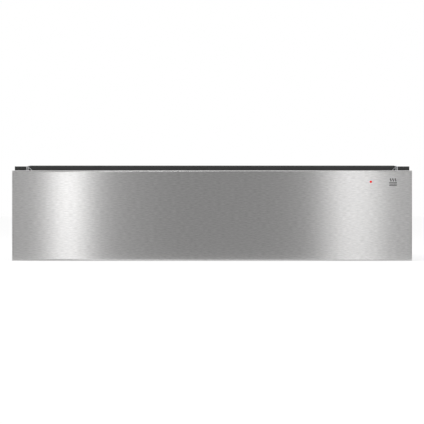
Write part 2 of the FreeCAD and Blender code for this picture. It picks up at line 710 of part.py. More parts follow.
def case_back():
    """Back panel with vent slots, the lead passage and holes for what it carries."""
    panel_x = (-HALF_CASE, HALF_CASE)
    plate = block(panel_x, (Y_BACK_IN, Y_BACK), (Z_SIDE, Z_TOP_IN))
    through = (Y_BACK_IN - TINY, Y_BACK + TINY)
    slots = spread(HALF_CASE * 0.25, HALF_CASE * 0.75, 12)
    slot_z = around(CASE_HEIGHT * 0.72, BEAD_WIDTH * 1.6)
    cuts = vent_slots(slots, slot_z, "xz", through)
    cuts += [mirrored(slot) for slot in cuts]
    cuts.append(rod((TERMINAL_X, through[0], Z_LEAD), "y", 2 * CASE_SHEET, LEAD_RADIUS + FIT))
    for place, direction, length in back_screws():
        for side in (-1, 1):
            cuts.append(screw_hole((place[0] * side, place[1], place[2]), direction, length))
    for place, direction, length in latch_screws() + cover_screws():
        cuts.append(screw_hole(place, direction, length))
    for x in clip_places():
        cuts.append(rod((x, through[0], Z_LEAD), "y", 2 * CASE_SHEET, SCREW_RADIUS + SHANK_PLAY))
    return plate.cut(cuts)


def top_front_rail():
    """Black folded rail across the top of the opening, with sloping and mitred ends."""
    half = CASE_SHEET / 2
    front = Y_CASE + half
    back = Y_RAIL_BACK - half
    top = CASE_HEIGHT - half
    path = [(back, CASE_HEIGHT - RAIL_REAR_DROP), (back, top), (front, top)]
    path.append((front, CASE_HEIGHT - RAIL_DROP))
    rail = folded(path, "yz", (-RAIL_REACH, RAIL_REACH), CASE_SHEET, CASE_BEND)
    corner = CASE_HEIGHT - RAIL_END_FALL
    slope = [(RAIL_REACH - RAIL_END_TAPER, CASE_HEIGHT), (RAIL_REACH, corner)]
    slope += [(RAIL_REACH + 1, corner), (RAIL_REACH + 1, CASE_HEIGHT + 1)]
    slope.append((RAIL_REACH - RAIL_END_TAPER, CASE_HEIGHT + 1))
    ends = [prism(slope, "xz", (Y_CASE - 1, Y_RAIL_BACK + 1))]
    fall = corner - (CASE_HEIGHT - RAIL_DROP) + 1
    mitre = [(RAIL_REACH + 1, corner + 1), (RAIL_REACH + 1, corner - fall)]
    mitre.append((RAIL_REACH - fall, corner - fall))
    step = Y_CASE + CASE_SHEET + CASE_BEND
    mitre_cut = prism(mitre, "xz", (Y_CASE - 1, step))
    keep_top = block((0, RAIL_REACH + 2), (Y_CASE - 1, step), (corner, CASE_HEIGHT + 1))
    ends.append(mitre_cut.cut(keep_top))
    rear_x = (FLANGE_IN - RUN_GAP - CASE_SHEET, RAIL_REACH + 1)
    under = (CASE_HEIGHT - RAIL_REAR_DROP - 1, Z_TOP_IN)
    ends.append(block(rear_x, (step, Y_RAIL_BACK + 1), under))
    cuts = both_sides(ends)
    for place, direction, length in rail_screws():
        for side in (-1, 1):
            there = (place[0] * side, place[1], place[2])
            cuts.append(screw_hole(there, direction, length, True))
    return rail.cut(cuts)


def corner_gussets():
    """Zinc corner plates welded behind the ends of the rail, each with a small window."""
    half = CASE_SHEET / 2
    outer = HALF_INSIDE - CASE_BEND - FIT
    x = (outer - GUSSET_WIDTH, outer)
    front = Y_CASE + CASE_SHEET + half
    top = Z_TOP_IN - CASE_SHEET - half
    low = top - GUSSET_DROP + CASE_SHEET
    path = [(front, low), (front, top), (front + GUSSET_DEPTH, top)]
    plate = folded(path, "yz", x, CASE_SHEET, CASE_BEND)
    corner = CASE_HEIGHT - RAIL_END_FALL
    right = RAIL_REACH - GUSSET_BORDER / 2
    inset = GUSSET_BORDER * math.sqrt(2)
    top_edge = corner - (RAIL_REACH - right) - inset
    low_edge = low + GUSSET_BORDER * 2
    fall = top_edge - low_edge
    window = [(right, top_edge), (right, low_edge), (right - fall, low_edge)]
    cuts = [prism(window, "xz", (Y_CASE, Y_CASE + 3 * CASE_SHEET))]
    cuts += [screw_hole(*place) for place in rail_screws()]
    return group(both_sides([plate.cut(cuts)]))


def mounting_flange():
    """Right mounting flange: a black angle outside the side wall, with wood-screw holes."""
    half = CASE_SHEET / 2
    x = HALF_CASE + half
    path = [(x, Y_CASE + FLANGE_DEPTH), (x, Y_CASE + half)]
    path.append((HALF_CASE + FLANGE_REACH, Y_CASE + half))
    z = (Z_SIDE + FLANGE_LOW_GAP, CASE_HEIGHT - FLANGE_TOP_GAP)
    angle = folded(path, "xy", z, CASE_SHEET, CASE_BEND)
    cuts = [rivet_hole(*place) for place in flange_rivets()]
    for z in (FIXING_LOW, FIXING_LOW + FIXING_RISE):
        cuts.append(rod((FIXING_X, Y_CASE - 1, z), "y", 2 * CASE_SHEET + 1, FIXING_RADIUS))
    return angle.cut(cuts)


def flange_buffers():
    """Rubber buffers stuck on the mounting flanges, which the front's liner meets."""
    pads = []
    for z in (Z_SIDE + SIDE_FLANGE, Z_FRONT[1] - SIDE_FLANGE):
        pad = rod((FIXING_X, Y_CASE - BUFFER_HEIGHT, z), "y", BUFFER_HEIGHT, BUFFER_RADIUS)
        pads.append(pad)
    return group(both_sides(pads))


def case_rivets():
    """Rivets that hold the mounting flanges and the cabinet runners."""
    return group(both_sides([rivet(*place) for place in flange_rivets() + runner_rivets()]))


def case_screws():
    """Screws of the top plate, rail, back panel, latch and terminal cover."""
    right = []
    for place, direction, length in top_screws() + rail_screws():
        right.append(screw(place, direction, length, True))
    right += [screw(*place) for place in back_screws()]
    single = [screw(*place) for place in latch_screws() + cover_screws()]
    return group(both_sides(right) + single)


# ---------------------------------------------------------------- runners
MIDDLE_WEB = (2 * RUNNER_SHEET, 3 * RUNNER_SHEET)
INNER_CAGE_WEB = (MIDDLE_WEB[1] + CAGE_GAP, MIDDLE_WEB[1] + CAGE_GAP + CAGE_SHEET)
OUTER_CAGE_WEB = (RUNNER_SHEET + CAGE_GAP, RUNNER_SHEET + CAGE_GAP + CAGE_SHEET)
BALL_LINE = INNER_CAGE_WEB[1] + BALL_RADIUS + CAGE_GAP / 2
ARM_TIP = RUNNER_WIDTH - RUNNER_SHEET - RUNNER_REST
DRAWER_ARM = INNER_CAGE_WEB[1] + CAGE_GAP + FIT
CABINET_ARM_IN = RUNNER_HEIGHT / 2 - RUNNER_ARM
OUTER_ROW = CABINET_ARM_IN + TRACK_DEPTH - BALL_RADIUS
MIDDLE_ARM_OUT = OUTER_ROW - BALL_RADIUS + TRACK_DEPTH
MIDDLE_ARM_IN = MIDDLE_ARM_OUT - MIDDLE_ARM
INNER_ROW = MIDDLE_ARM_IN + TRACK_DEPTH - BALL_RADIUS
DRAWER_ARM_OUT = INNER_ROW - BALL_RADIUS + TRACK_DEPTH
Y_CAGE = around((Y_RUNNER[0] + Y_RUNNER[1]) / 2, CAGE_LENGTH)


def from_wall(near, far):
    """The x range of something a given way in from the right side wall."""
    return (HALF_INSIDE - far, HALF_INSIDE - near)


def channel(web, arms, outer, inner, y):
    """A web and two arms, placed by their distance in from the case wall."""
    pieces = [block(from_wall(*web), y, (Z_RUNNER - outer, Z_RUNNER + outer))]
    pieces.append(block(from_wall(*arms), y, (Z_RUNNER + inner, Z_RUNNER + outer)))
    pieces.append(block(from_wall(*arms), y, (Z_RUNNER - outer, Z_RUNNER - inner)))
    return joined(pieces)


def tracks(rows):
    """Grooves that the balls run in."""
    length = Y_RUNNER[1] - Y_RUNNER[0] + 2
    x = HALF_INSIDE - BALL_LINE
    grooves = []
    for row in rows:
        for z in (Z_RUNNER - row, Z_RUNNER + row):
            grooves.append(rod((x, Y_RUNNER[0] - 1, z), "y", length, BALL_RADIUS + BALL_PLAY))
    return grooves


def cabinet_runner():
    """Right cabinet member, riveted to the side wall."""
    arms = (0, ARM_TIP)
    member = channel((0, RUNNER_SHEET), arms, RUNNER_HEIGHT / 2, CABINET_ARM_IN, Y_RUNNER)
    return member.cut(tracks([OUTER_ROW]) + [rivet_hole(*place) for place in runner_rivets()])


def middle_runner():
    """Right middle member, which rolls between the other two."""
    arms = (MIDDLE_WEB[0], ARM_TIP)
    member = channel(MIDDLE_WEB, arms, MIDDLE_ARM_OUT, MIDDLE_ARM_IN, Y_RUNNER)
    return member.cut(tracks([OUTER_ROW, INNER_ROW]))


def drawer_runner():
    """Right drawer member, screwed to the chassis."""
    web = (RUNNER_WIDTH - RUNNER_SHEET, RUNNER_WIDTH)
    arms = (DRAWER_ARM, RUNNER_WIDTH)
    member = channel(web, arms, DRAWER_ARM_OUT, DRAWER_ARM_OUT - RUNNER_ARM, Y_RUNNER)
    return member.cut(tracks([INNER_ROW]) + [screw_hole(*place) for place in slide_screws()])


def ball_cage(web, row):
    """A right-hand cage with two rows of balls."""
    half = CAGE_SHEET / 2
    arms = (web[0], BALL_LINE + BALL_RADIUS + CAGE_GAP)
    strip = channel(web, arms, row + half, row - half, Y_CAGE)
    x = HALF_INSIDE - BALL_LINE
    inset = 2 * BALL_RADIUS
    balls = []
    holes = []
    for y in spread(Y_CAGE[0] + inset, Y_CAGE[1] - inset, BALL_COUNT):
        for z in (Z_RUNNER - row, Z_RUNNER + row):
            balls.append(Part.makeSphere(BALL_RADIUS, FreeCAD.Vector(x, y, z)))
            hole_radius = BALL_RADIUS + BALL_PLAY
            holes.append(rod((x, y, z - CAGE_SHEET), "z", 2 * CAGE_SHEET, hole_radius))
    return group([strip.cut(holes)] + balls)


# ---------------------------------------------------------------- front
def front_panel():
    """Brushed steel front: one sheet with four folded edges that meet at open corner seams."""
    x = (-HALF_FRONT, HALF_FRONT)
    outer = block(x, (Y_FRONT, Y_LINER), Z_FRONT)
    rims = [edge for edge in outer.Edges if edge.BoundBox.YMax < Y_FRONT + TINY]
    outer = outer.makeFillet(FRONT_BEND, rims)
    inner_x = (x[0] + FRONT_SHEET, x[1] - FRONT_SHEET)
    inner_z = (Z_FRONT[0] + FRONT_SHEET, Z_FRONT[1] - FRONT_SHEET)
    inner = block(inner_x, (Y_FRONT + FRONT_SHEET, Y_LINER + 1), inner_z)
    rims = [edge for edge in inner.Edges if edge.BoundBox.YMax < Y_FRONT + FRONT_SHEET + TINY]
    inner = inner.makeFillet(FRONT_BEND - FRONT_SHEET, rims)
    cuts = [inner]
    seam_y = (Y_FRONT + FRONT_BEND, Y_LINER + 1)
    seam_x = (HALF_FRONT - FRONT_SHEET - TINY, HALF_FRONT + 1)
    for z in (inner_z[0], inner_z[1] - CORNER_SEAM):
        cuts += both_sides([block(seam_x, seam_y, (z, z + CORNER_SEAM))])
    lamp = (LAMP_X, Y_FRONT - 1, LAMP_Z)
    cuts.append(rod(lamp, "y", FRONT_SHEET + 2, LAMP_RADIUS + LAMP_HOLE_PLAY))
    return outer.cut(cuts)


def front_liner():
    """Black moulded pan inside the front, with a grid of ribs that backs the steel."""
    half = HALF_FRONT - FRONT_SHEET - FIT
    z = (Z_FRONT[0] + FRONT_SHEET + FIT, Z_FRONT[1] - FRONT_SHEET - FIT)
    front = Y_FRONT + FRONT_SHEET + FIT
    rounding = FRONT_BEND - FRONT_SHEET
    pan = block((-half, half), (front, Y_LINER), z)
    rims = [edge for edge in pan.Edges if edge.BoundBox.YMax < front + TINY]
    pan = pan.makeFillet(rounding, rims)
    wide = (2 * half - LINER_WALL) / LINER_COLUMNS
    tall = (z[1] - z[0] - LINER_WALL) / LINER_ROWS
    cuts = []
    for column in range(LINER_COLUMNS):
        for row in range(LINER_ROWS):
            low_x = -half + LINER_WALL + column * wide
            low_z = z[0] + LINER_WALL + row * tall
            cell_x = (low_x, low_x + wide - LINER_WALL)
            cell_z = (low_z, low_z + tall - LINER_WALL)
            cuts.append(block(cell_x, (front - 1, Y_LINER - LINER_WALL), cell_z))
    for place in liner_screws():
        cuts += both_sides([screw_hole(*place)])
    bay_x = around(LAMP_X, BOARD_WIDTH + 2 * BOARD_BAY)
    bay_z = around(LAMP_Z, BOARD_HEIGHT + 2 * BOARD_BAY)
    cuts.append(block(bay_x, (front - 1, Y_LINER - LINER_WALL), bay_z))
    posts = []
    for x in around(LAMP_X, BOARD_WIDTH - 2 * SCREW_RADIUS):
        posts.append(rod((x, Y_BOARD, LAMP_Z), "y", BOARD_STAND + TINY, SCREW_RADIUS))
    passage = rod((LAMP_X, Y_BOARD, lamp_lead_z()), "y", Y_LINER - Y_BOARD + 1, LOOM_RADIUS + FIT)
    return joined([pan.cut(cuts)] + posts).cut(passage)


def lamp_lead_z():
    """Height at which the lamp's lead passes through the liner."""
    return LAMP_Z - BOARD_HEIGHT / 2 + LOOM_RADIUS


def indicator_lens():
    """Red light guide: a short pin with a collar behind the steel."""
    end = Y_BOARD - BOARD_SHEET - LAMP_BODY - FIT - RUN_GAP
    pin = rod((LAMP_X, Y_FRONT, LAMP_Z), "y", end - Y_FRONT, LAMP_RADIUS)
    collar = rod((LAMP_X, Y_FRONT + FRONT_SHEET, LAMP_Z), "y", FRONT_SHEET, LAMP_COLLAR)
    return joined([pin, collar])


def lamp_board():
    """Small circuit board with the lamp and its two pads."""
    y = (Y_BOARD - BOARD_SHEET, Y_BOARD)
    board = block(around(LAMP_X, BOARD_WIDTH), y, around(LAMP_Z, BOARD_HEIGHT))
    lamp = rod((LAMP_X, y[0] - LAMP_BODY, LAMP_Z), "y", LAMP_BODY + TINY, LAMP_RADIUS * 1.5)
    chip_x = around(LAMP_X + BOARD_WIDTH / 4, CHIP_SIZE)
    chip = block(chip_x, (y[0] - CHIP_SIZE / 3, y[0] + TINY), around(LAMP_Z, CHIP_SIZE))
    return joined([board, lamp, chip])


def front_bracket():
    """Right steel angle that carries the front on the chassis."""
    half = BRACKET_SHEET / 2
    x = HALF_BAY - half
    y = Y_LINER + half
    path = [(HALF_BAY - BRACKET_WIDTH, y), (x, y), (x, y + BRACKET_REACH)]
    z = around(Z_FLOOR + RUNNER_LIFT, BRACKET_HEIGHT)
    angle = folded(path, "xy", z, BRACKET_SHEET, BRACKET_SHEET)
    return angle.cut([screw_hole(*place) for place in liner_screws() + bracket_screws()])


# ---------------------------------------------------------------- chassis and tray
def drawer_chassis():
    """Zinc sheet box under the tray: floor, side and back walls and a low front lip."""
    half = CHASSIS_SHEET / 2
    x = HALF_CHASSIS - half
    z = Z_CHASSIS + half
    path = [(-x, Z_RIM_LOW), (-x, z), (x, z), (x, Z_RIM_LOW)]
    tray = folded(path, "xz", Y_CHASSIS, CHASSIS_SHEET, CASE_BEND)
    inside = (-HALF_BAY - half, HALF_BAY + half)
    low_front = (Y_CHASSIS[0], Y_CHASSIS[0] + CHASSIS_SHEET)
    low_half = HALF_BAY - BRACKET_WIDTH - FIT
    lip = block((-low_half, low_half), low_front, (z, Z_CHASSIS + CHASSIS_LIP))
    back_y = (Y_CHASSIS[1] - CHASSIS_SHEET, Y_CHASSIS[1])
    back = block(inside, back_y, (z, Z_RIM_LOW))
    through = (back_y[0] - TINY, back_y[1] + TINY)
    slot_z = around(FAN_MIDDLE, BEAD_WIDTH * 2)
    slots = spread(STRIKER_RADIUS * 4, HALF_TUB * 0.6, 10)
    cuts = both_sides(vent_slots(slots, slot_z, "xz", through))
    cuts.append(rod((0, through[0], Z_LATCH), "y", 2 * CHASSIS_SHEET, SCREW_RADIUS + SHANK_PLAY))
    lead_hole = LEAD_RADIUS + FIT
    cuts.append(rod((LEAD_ENTRY_X, through[0], Z_LEAD), "y", 2 * CHASSIS_SHEET, lead_hole))
    for place, direction, length in bracket_screws() + slide_screws() + lip_screws():
        cuts += both_sides([screw_hole(place, direction, length)])
    floor_slots = spread(-HALF_TUB * 0.5, HALF_TUB * 0.5, 12)
    slot_y = around(Y_CHASSIS[1] - REAR_BAY / 2, BEAD_WIDTH)
    under = (Z_CHASSIS - TINY, Z_CHASSIS_IN + TINY)
    cuts += vent_slots(floor_slots, slot_y, "xy", under)
    return joined([tray, lip, back]).cut(cuts)


def tub_block(grow, top):
    """The tray's well, grown by a wall's thickness, with rounded corners and floor edge."""
    half = HALF_TUB + grow
    y = (Y_TUB[0] - grow, Y_TUB[1] + grow)
    low = Z_TUB - grow
    well = slab((-half, half), y, "xy", (low, top), TRAY_CORNER + grow)
    return well.makeFillet(TRAY_FLOOR_RADIUS + grow, flat_edges(well, low))


def tray():
    """Stainless tray: a deep-drawn well with a rolled edge, a flat rim and downturned lips."""
    rim = slab((-HALF_RIM, HALF_RIM), Y_RIM, "xy", (Z_RIM_LOW, Z_RIM), 0)
    shell = joined([rim, tub_block(TRAY_SHEET, Z_RIM)])
    under = [edge for edge in flat_edges(shell, Z_RIM_LOW) if inside_rim(edge)]
    shell = shell.makeFillet(RIM_ROLL - TRAY_SHEET, under)
    shell = shell.cut(tub_block(0, Z_RIM + 1))
    edge_loop = [edge for edge in flat_edges(shell, Z_RIM) if inside_rim(edge)]
    shell = shell.makeFillet(RIM_ROLL, edge_loop)
    lip_z = (Z_RIM_LOW - TRAY_LIP, Z_RIM)
    lips = both_sides([block((HALF_RIM - TRAY_SHEET, HALF_RIM), Y_RIM, lip_z)])
    rear_y = (Y_RIM[1] - TRAY_SHEET, Y_RIM[1])
    lips.append(block((-HALF_RIM, HALF_RIM), rear_y, lip_z))
    shell = joined([shell] + lips)
    fan_y = (Y_TUB[1] - 1, Y_TUB_OUT + 1)
    opening_x = around(0, 2 * (FAN_HALF_WIDTH - FAN_FLANGE))
    opening_z = (Z_FAN[0] + FAN_SHEET * 2, Z_FAN[1] - FAN_SHEET * 2)
    cuts = [slab(opening_x, opening_z, "xz", fan_y, FAN_FLANGE)]
    hole_x = around(POCKET_X, POCKET_WIDTH - 2 * POCKET_WALL + FIT)
    hole_y = (Y_POCKET[0] + POCKET_WALL - FIT / 2, Y_POCKET[1] - POCKET_WALL + FIT / 2)
    hole_z = (Z_RIM_LOW - 1, Z_RIM + 1)
    cuts.append(slab(hole_x, hole_y, "xy", hole_z, POCKET_WALL * 2))
    cuts += [screw_hole(*place) for place in fan_screws()]
    for place in lip_screws():
        cuts += both_sides([screw_hole(*place)])
    return shell.cut(cuts)


def inside_rim(edge):
    """Whether an edge lies on the well, away from the rim's outer edges."""
    box = edge.BoundBox
    clear = TRAY_SHEET * 2
    inside_x = max(abs(box.XMin), abs(box.XMax)) < HALF_TUB + clear
    return inside_x and box.YMin > Y_TUB[0] - clear and box.YMax < Y_TUB[1] + clear


def anti_slip_mat():
    """Rubber mat that lies on the floor of the tray."""
    half = HALF_TUB - MAT_MARGIN
    y = (Y_TUB[0] + MAT_MARGIN, Y_TUB[1] - MAT_MARGIN)
    mat = slab((-half, half), y, "xy", (Z_TUB, Z_TUB + MAT_HEIGHT), MAT_CORNER)
    return mat.makeFillet(MAT_HEIGHT / 4, flat_edges(mat, Z_TUB + MAT_HEIGHT))


# ---------------------------------------------------------------- floor heating
def heater_lines():
    """The x places of the floor heater's straight runs."""
    reach = HALF_TUB - HEATER_MARGIN
    return spread(-reach, reach, HEATER_RUNS)


def heater_y():
    """Front and rear ends of the floor heater's runs."""
    return (Y_TUB[0] + HEATER_MARGIN, Y_TUB[1] - HEATER_MARGIN)


def floor_heater():
    """Tubular element bent into long runs under the tray."""
    low, high = heater_y()
    points = []
    for index, x in enumerate(heater_lines()):
        ends = (high, low) if index % 2 == 0 else (low, high)
        points += [(x, ends[0], Z_HEATER), (x, ends[1], Z_HEATER)]
    lines = heater_lines()
    points[0] = (lines[0], Y_TUB[1] + HEATER_TURN, Z_HEATER)
    points[-1] = (lines[-1], Y_TUB[1] + HEATER_TURN, Z_HEATER)
    return tube(points, HEATER_TURN, HEATER_RADIUS)


def heater_clips():
    """Saddle clips spot-welded under the tray, which hold the floor heater."""
    clips = []
    top = Z_TUB - TRAY_SHEET
    for x in heater_lines():
        for y in spread(heater_y()[0] + HEATER_MARGIN, heater_y()[1] - HEATER_MARGIN, 2):
            inner = HEATER_RADIUS + SHANK_PLAY
            outer = inner + CLIP_SHEET
            y_span = around(y, CLIP_WIDTH)
            length = CLIP_WIDTH
            saddle = rod((x, y_span[0], Z_HEATER), "y", length, outer)
            saddle = saddle.fuse(block(around(x, 2 * outer), y_span, (Z_HEATER, top)))
            ears = block(around(x, 2 * (outer + CLIP_EAR)), y_span, (top - CLIP_SHEET, top))
            core = rod((x, y_span[0] - 1, Z_HEATER), "y", length + 2, inner)
            channel_z = (Z_HEATER, top + 1)
            channel_cut = block(around(x, 2 * inner), (y_span[0] - 1, y_span[1] + 1), channel_z)
            clips.append(joined([saddle, ears]).cut([core, channel_cut]))
    return group(clips)


def insulation_pad():
    """Fibre pad between the chassis floor and the floor heater."""
    half = HALF_BAY - BRACKET_SHEET * 2
    y = (Y_CHASSIS[0] + 2 * CHASSIS_SHEET, Y_TUB[1] + HEATER_TURN * 1.5)
    return block((-half, half), y, (Z_CHASSIS_IN, Z_HEATER - HEATER_RADIUS - PAD_AIR))


# ---------------------------------------------------------------- circulating air
def fan_cover():
    """Stainless cover inside the tray, with a round intake and outlet slots at both sides."""
    half = FAN_HALF_WIDTH + FAN_FLANGE
    z = (Z_FAN[0] - FAN_FLANGE / 2, Z_FAN[1] + FAN_FLANGE / 2)
    y = (Y_TUB[1] - FAN_SHEET, Y_TUB[1])
    plate = slab((-half, half), z, "xz", y, FAN_FLANGE)
    through = (y[0] - 1, y[1] + 1)
    cuts = [screw_hole(*place) for place in fan_screws()]
    for ring, count in ((1, 6), (2, 12), (3, 18)):
        radius = IMPELLER_RADIUS * ring / 3.6
        for step in range(count):
            angle = 2 * math.pi * step / count
            x = radius * math.cos(angle)
            place = (x, through[0], FAN_MIDDLE + radius * math.sin(angle))
            cuts.append(rod(place, "y", through[1] - through[0], FAN_SLOT * 0.6))
    rows = spread(Z_FAN[0] + 4 * FAN_SLOT, Z_FAN[1] - 4 * FAN_SLOT, 5)
    for x in spread(IMPELLER_RADIUS * 2, FAN_HALF_WIDTH - 5 * FAN_SLOT, 5):
        for row in rows:
            slot_x = around(x, FAN_HALF_WIDTH / 10)
            slot = slab(slot_x, around(row, FAN_SLOT), "xz", through, FAN_SLOT / 2 - TINY)
            cuts += both_sides([slot])
    return plate.cut(cuts)


def fan_housing():
    """Steel pan behind the tray that holds the impeller and the ring heater."""
    x = (-FAN_HALF_WIDTH, FAN_HALF_WIDTH)
    flange_x = (x[0] - FAN_FLANGE, x[1] + FAN_FLANGE)
    margin = FAN_FLANGE / 2
    flange_z = (Z_FAN[0] - margin, Z_FAN[1] + margin)
    flange = slab(flange_x, flange_z, "xz", (Y_FAN[0], Y_FAN[0] + FAN_SHEET), FAN_FLANGE)
    shell = slab(x, Z_FAN, "xz", Y_FAN, FAN_FLANGE)
    inner_x = (x[0] + FAN_SHEET, x[1] - FAN_SHEET)
    inner_z = (Z_FAN[0] + FAN_SHEET, Z_FAN[1] - FAN_SHEET)
    inner_y = (Y_FAN[0] - 1, Y_FAN[1] - FAN_SHEET)
    inner = slab(inner_x, inner_z, "xz", inner_y, FAN_FLANGE - FAN_SHEET)
    start = Y_FAN[1] - 2 * FAN_SHEET
    cuts = [inner, rod((0, start, FAN_MIDDLE), "y", 3 * FAN_SHEET, SHAFT_RADIUS * 2)]
    for x_end in ring_ends():
        place = (x_end, start, FAN_MIDDLE + RING_BEND)
        cuts.append(rod(place, "y", 3 * FAN_SHEET, RING_RADIUS + SHANK_PLAY))
    cuts += [screw_hole(*place) for place in fan_screws()]
    return joined([flange, shell]).cut(cuts)


def ring_ends():
    """The x places where the ring heater's ends leave the fan box."""
    return around(0, RING_BEND)


def ring_heater():
    """Tubular element round the impeller, with its ends bent back through the fan box."""
    plane = (Y_FAN[0] + Y_FAN[1]) / 2
    low = FAN_MIDDLE - RING_BEND
    high = FAN_MIDDLE + RING_BEND
    reach = FAN_HALF_WIDTH - FAN_SHEET - RING_INSET * 3
    left, right = ring_ends()
    bend = RING_RADIUS * 2.5
    behind = Y_FAN[1] + 2 * RING_RADIUS
    points = [(left, behind, high), (left, plane, high), (-reach, plane, high)]
    points += [(-reach, plane, low), (reach, plane, low), (reach, plane, high)]
    points += [(right, plane, high), (right, behind, high)]
    turn = RING_BEND
    return tube(points, [bend, turn, turn, turn, turn, bend], RING_RADIUS)


def impeller():
    """Fan wheel: a back disc, a hub and straight blades."""
    front, back = Y_IMPELLER
    disc = rod((0, back - FAN_SHEET, FAN_MIDDLE), "y", FAN_SHEET, IMPELLER_RADIUS)
    hub = rod((0, front, FAN_MIDDLE), "y", back - front, SHAFT_RADIUS * 2)
    pieces = [disc, hub]
    for step in range(IMPELLER_BLADES):
        blade_x = (IMPELLER_RADIUS * 0.45, IMPELLER_RADIUS - FAN_SHEET / 2)
        blade = block(blade_x, (front, back - FAN_SHEET / 2), around(0, FAN_SHEET))
        turn = FreeCAD.Rotation(AXES["y"], 360.0 * step / IMPELLER_BLADES)
        blade.Placement = FreeCAD.Placement(FreeCAD.Vector(0, 0, FAN_MIDDLE), turn)
        pieces.append(blade)
    bore = rod((0, front - 1, FAN_MIDDLE), "y", back - front + 2, SHAFT_RADIUS)
    return joined(pieces).cut(bore)


def motor_rotor():
    """Rotor and shaft, which carry the impeller."""
    front = Y_IMPELLER[0]
    end = Y_MOTOR[1] + MOTOR_STAND - FAN_SHEET
    shaft = rod((0, front, FAN_MIDDLE), "y", end - front, SHAFT_RADIUS)
    body = rod((0, Y_MOTOR[0], FAN_MIDDLE), "y", MOTOR_STACK, ROTOR_RADIUS)
    return joined([shaft, body])


def motor_bar():
    """Heights of the motor core's lower bar, which the coil is wound on."""
    top = FAN_MIDDLE - ROTOR_RADIUS * 1.85
    return (top - ROTOR_RADIUS * 0.7, top)


def motor_core():
    """Laminated core with the rotor's bore and a window for the coil."""
    low, bar_top = motor_bar()
    x = (-MOTOR_HALF_WIDTH, MOTOR_HALF_WIDTH)
    core = slab(x, (low, FAN_MIDDLE + ROTOR_RADIUS * 1.7), "xz", Y_MOTOR, ROTOR_RADIUS / 6)
    y = Y_MOTOR[0] - 1
    cuts = [rod((0, y, FAN_MIDDLE), "y", MOTOR_STACK + 2, ROTOR_RADIUS + RUN_GAP)]
    window_z = (bar_top, FAN_MIDDLE - ROTOR_RADIUS * 1.25)
    window_x = around(0, MOTOR_HALF_WIDTH * 1.4)
    cuts.append(block(window_x, (y, Y_MOTOR[1] + 1), window_z))
    for x, z in motor_posts():
        cuts.append(rod((x, y, z), "y", MOTOR_STACK + 2, SCREW_RADIUS + SHANK_PLAY))
    return core.cut(cuts)


def motor_posts():
    """Centres of the posts that tie the motor to the fan box."""
    reach = MOTOR_HALF_WIDTH - 2 * SCREW_HEAD
    return [(side * reach, FAN_MIDDLE + ROTOR_RADIUS) for side in (-1, 1)]


def motor_coil():
    """Winding on the core's lower bar."""
    low, top = motor_bar()
    x = around(0, MOTOR_HALF_WIDTH * 1.2)
    y = (Y_MOTOR[0] - COIL_BUILD, Y_MOTOR[1] + COIL_BUILD)
    outer = slab(y, (low - COIL_BUILD, top + COIL_BUILD), "yz", x, COIL_BUILD * 0.8)
    inner = block((x[0] - 1, x[1] + 1), Y_MOTOR, (low, top))
    return outer.cut(inner)


def motor_brackets():
    """Front and rear bearing straps, tied together by posts from the fan box."""
    posts = []
    bar_x = (-MOTOR_HALF_WIDTH, MOTOR_HALF_WIDTH)
    reach = ROTOR_RADIUS * 1.5
    bar_z = (FAN_MIDDLE - reach * 0.6, FAN_MIDDLE + reach)
    front = (Y_MOTOR[0] - FAN_SHEET - STOP_PLAY, Y_MOTOR[0] - STOP_PLAY)
    rear = (Y_MOTOR[1] + STOP_PLAY, Y_MOTOR[1] + STOP_PLAY + FAN_SHEET)
    bars = [slab(bar_x, bar_z, "xz", span, ROTOR_RADIUS / 3) for span in (front, rear)]
    end = Y_MOTOR[1] + STOP_PLAY + 2 * FAN_SHEET
    for x, z in motor_posts():
        posts.append(rod((x, Y_FAN[1], z), "y", end - Y_FAN[1], SCREW_RADIUS))
    bushes = []
    for start in (front[0] - FAN_SHEET, rear[0]):
        bushes.append(rod((0, start, FAN_MIDDLE), "y", 2 * FAN_SHEET, SHAFT_RADIUS * 1.8))
    length = end - Y_FAN[1]
    bore = rod((0, Y_FAN[1], FAN_MIDDLE), "y", length + 1, SHAFT_RADIUS + SHANK_PLAY)
    return joined(bars + posts + bushes).cut(bore)


# ---------------------------------------------------------------- controls
def control_housing():
    """Moulded pocket in the tray's rim that holds the knob and the switch."""
    rim_z = (Z_RIM, Z_RIM + POCKET_FLANGE)
    flange = slab(around(POCKET_X, POCKET_WIDTH), Y_POCKET, "xy", rim_z, POCKET_CORNER)
    flange = flange.makeFillet(POCKET_FLANGE / 2, flat_edges(flange, rim_z[1]))
    outer_x = around(POCKET_X, POCKET_WIDTH - 2 * POCKET_WALL)
    outer_y = (Y_POCKET[0] + POCKET_WALL, Y_POCKET[1] - POCKET_WALL)
    low = Z_POCKET - POCKET_WALL
    box = slab(outer_x, outer_y, "xy", (low, Z_RIM + TINY), POCKET_WALL * 2)
    inner_x = (outer_x[0] + POCKET_WALL, outer_x[1] - POCKET_WALL)
    inner_y = (outer_y[0] + POCKET_WALL, outer_y[1] - POCKET_WALL)
    inner = slab(inner_x, inner_y, "xy", (Z_POCKET, rim_z[1] + 1), POCKET_WALL)
    cuts = [inner]
    through = (low - 1, Z_POCKET + 1)
    cut_out_x = around(POCKET_X, SWITCH_WIDTH)
    cuts.append(block(cut_out_x, around(Y_SWITCH, SWITCH_LENGTH), through))
    depth = through[1] - through[0]
    cuts.append(rod((POCKET_X, Y_KNOB, through[0]), "z", depth, SPINDLE_RADIUS * 1.5))
    return joined([flange, box]).cut(cuts)


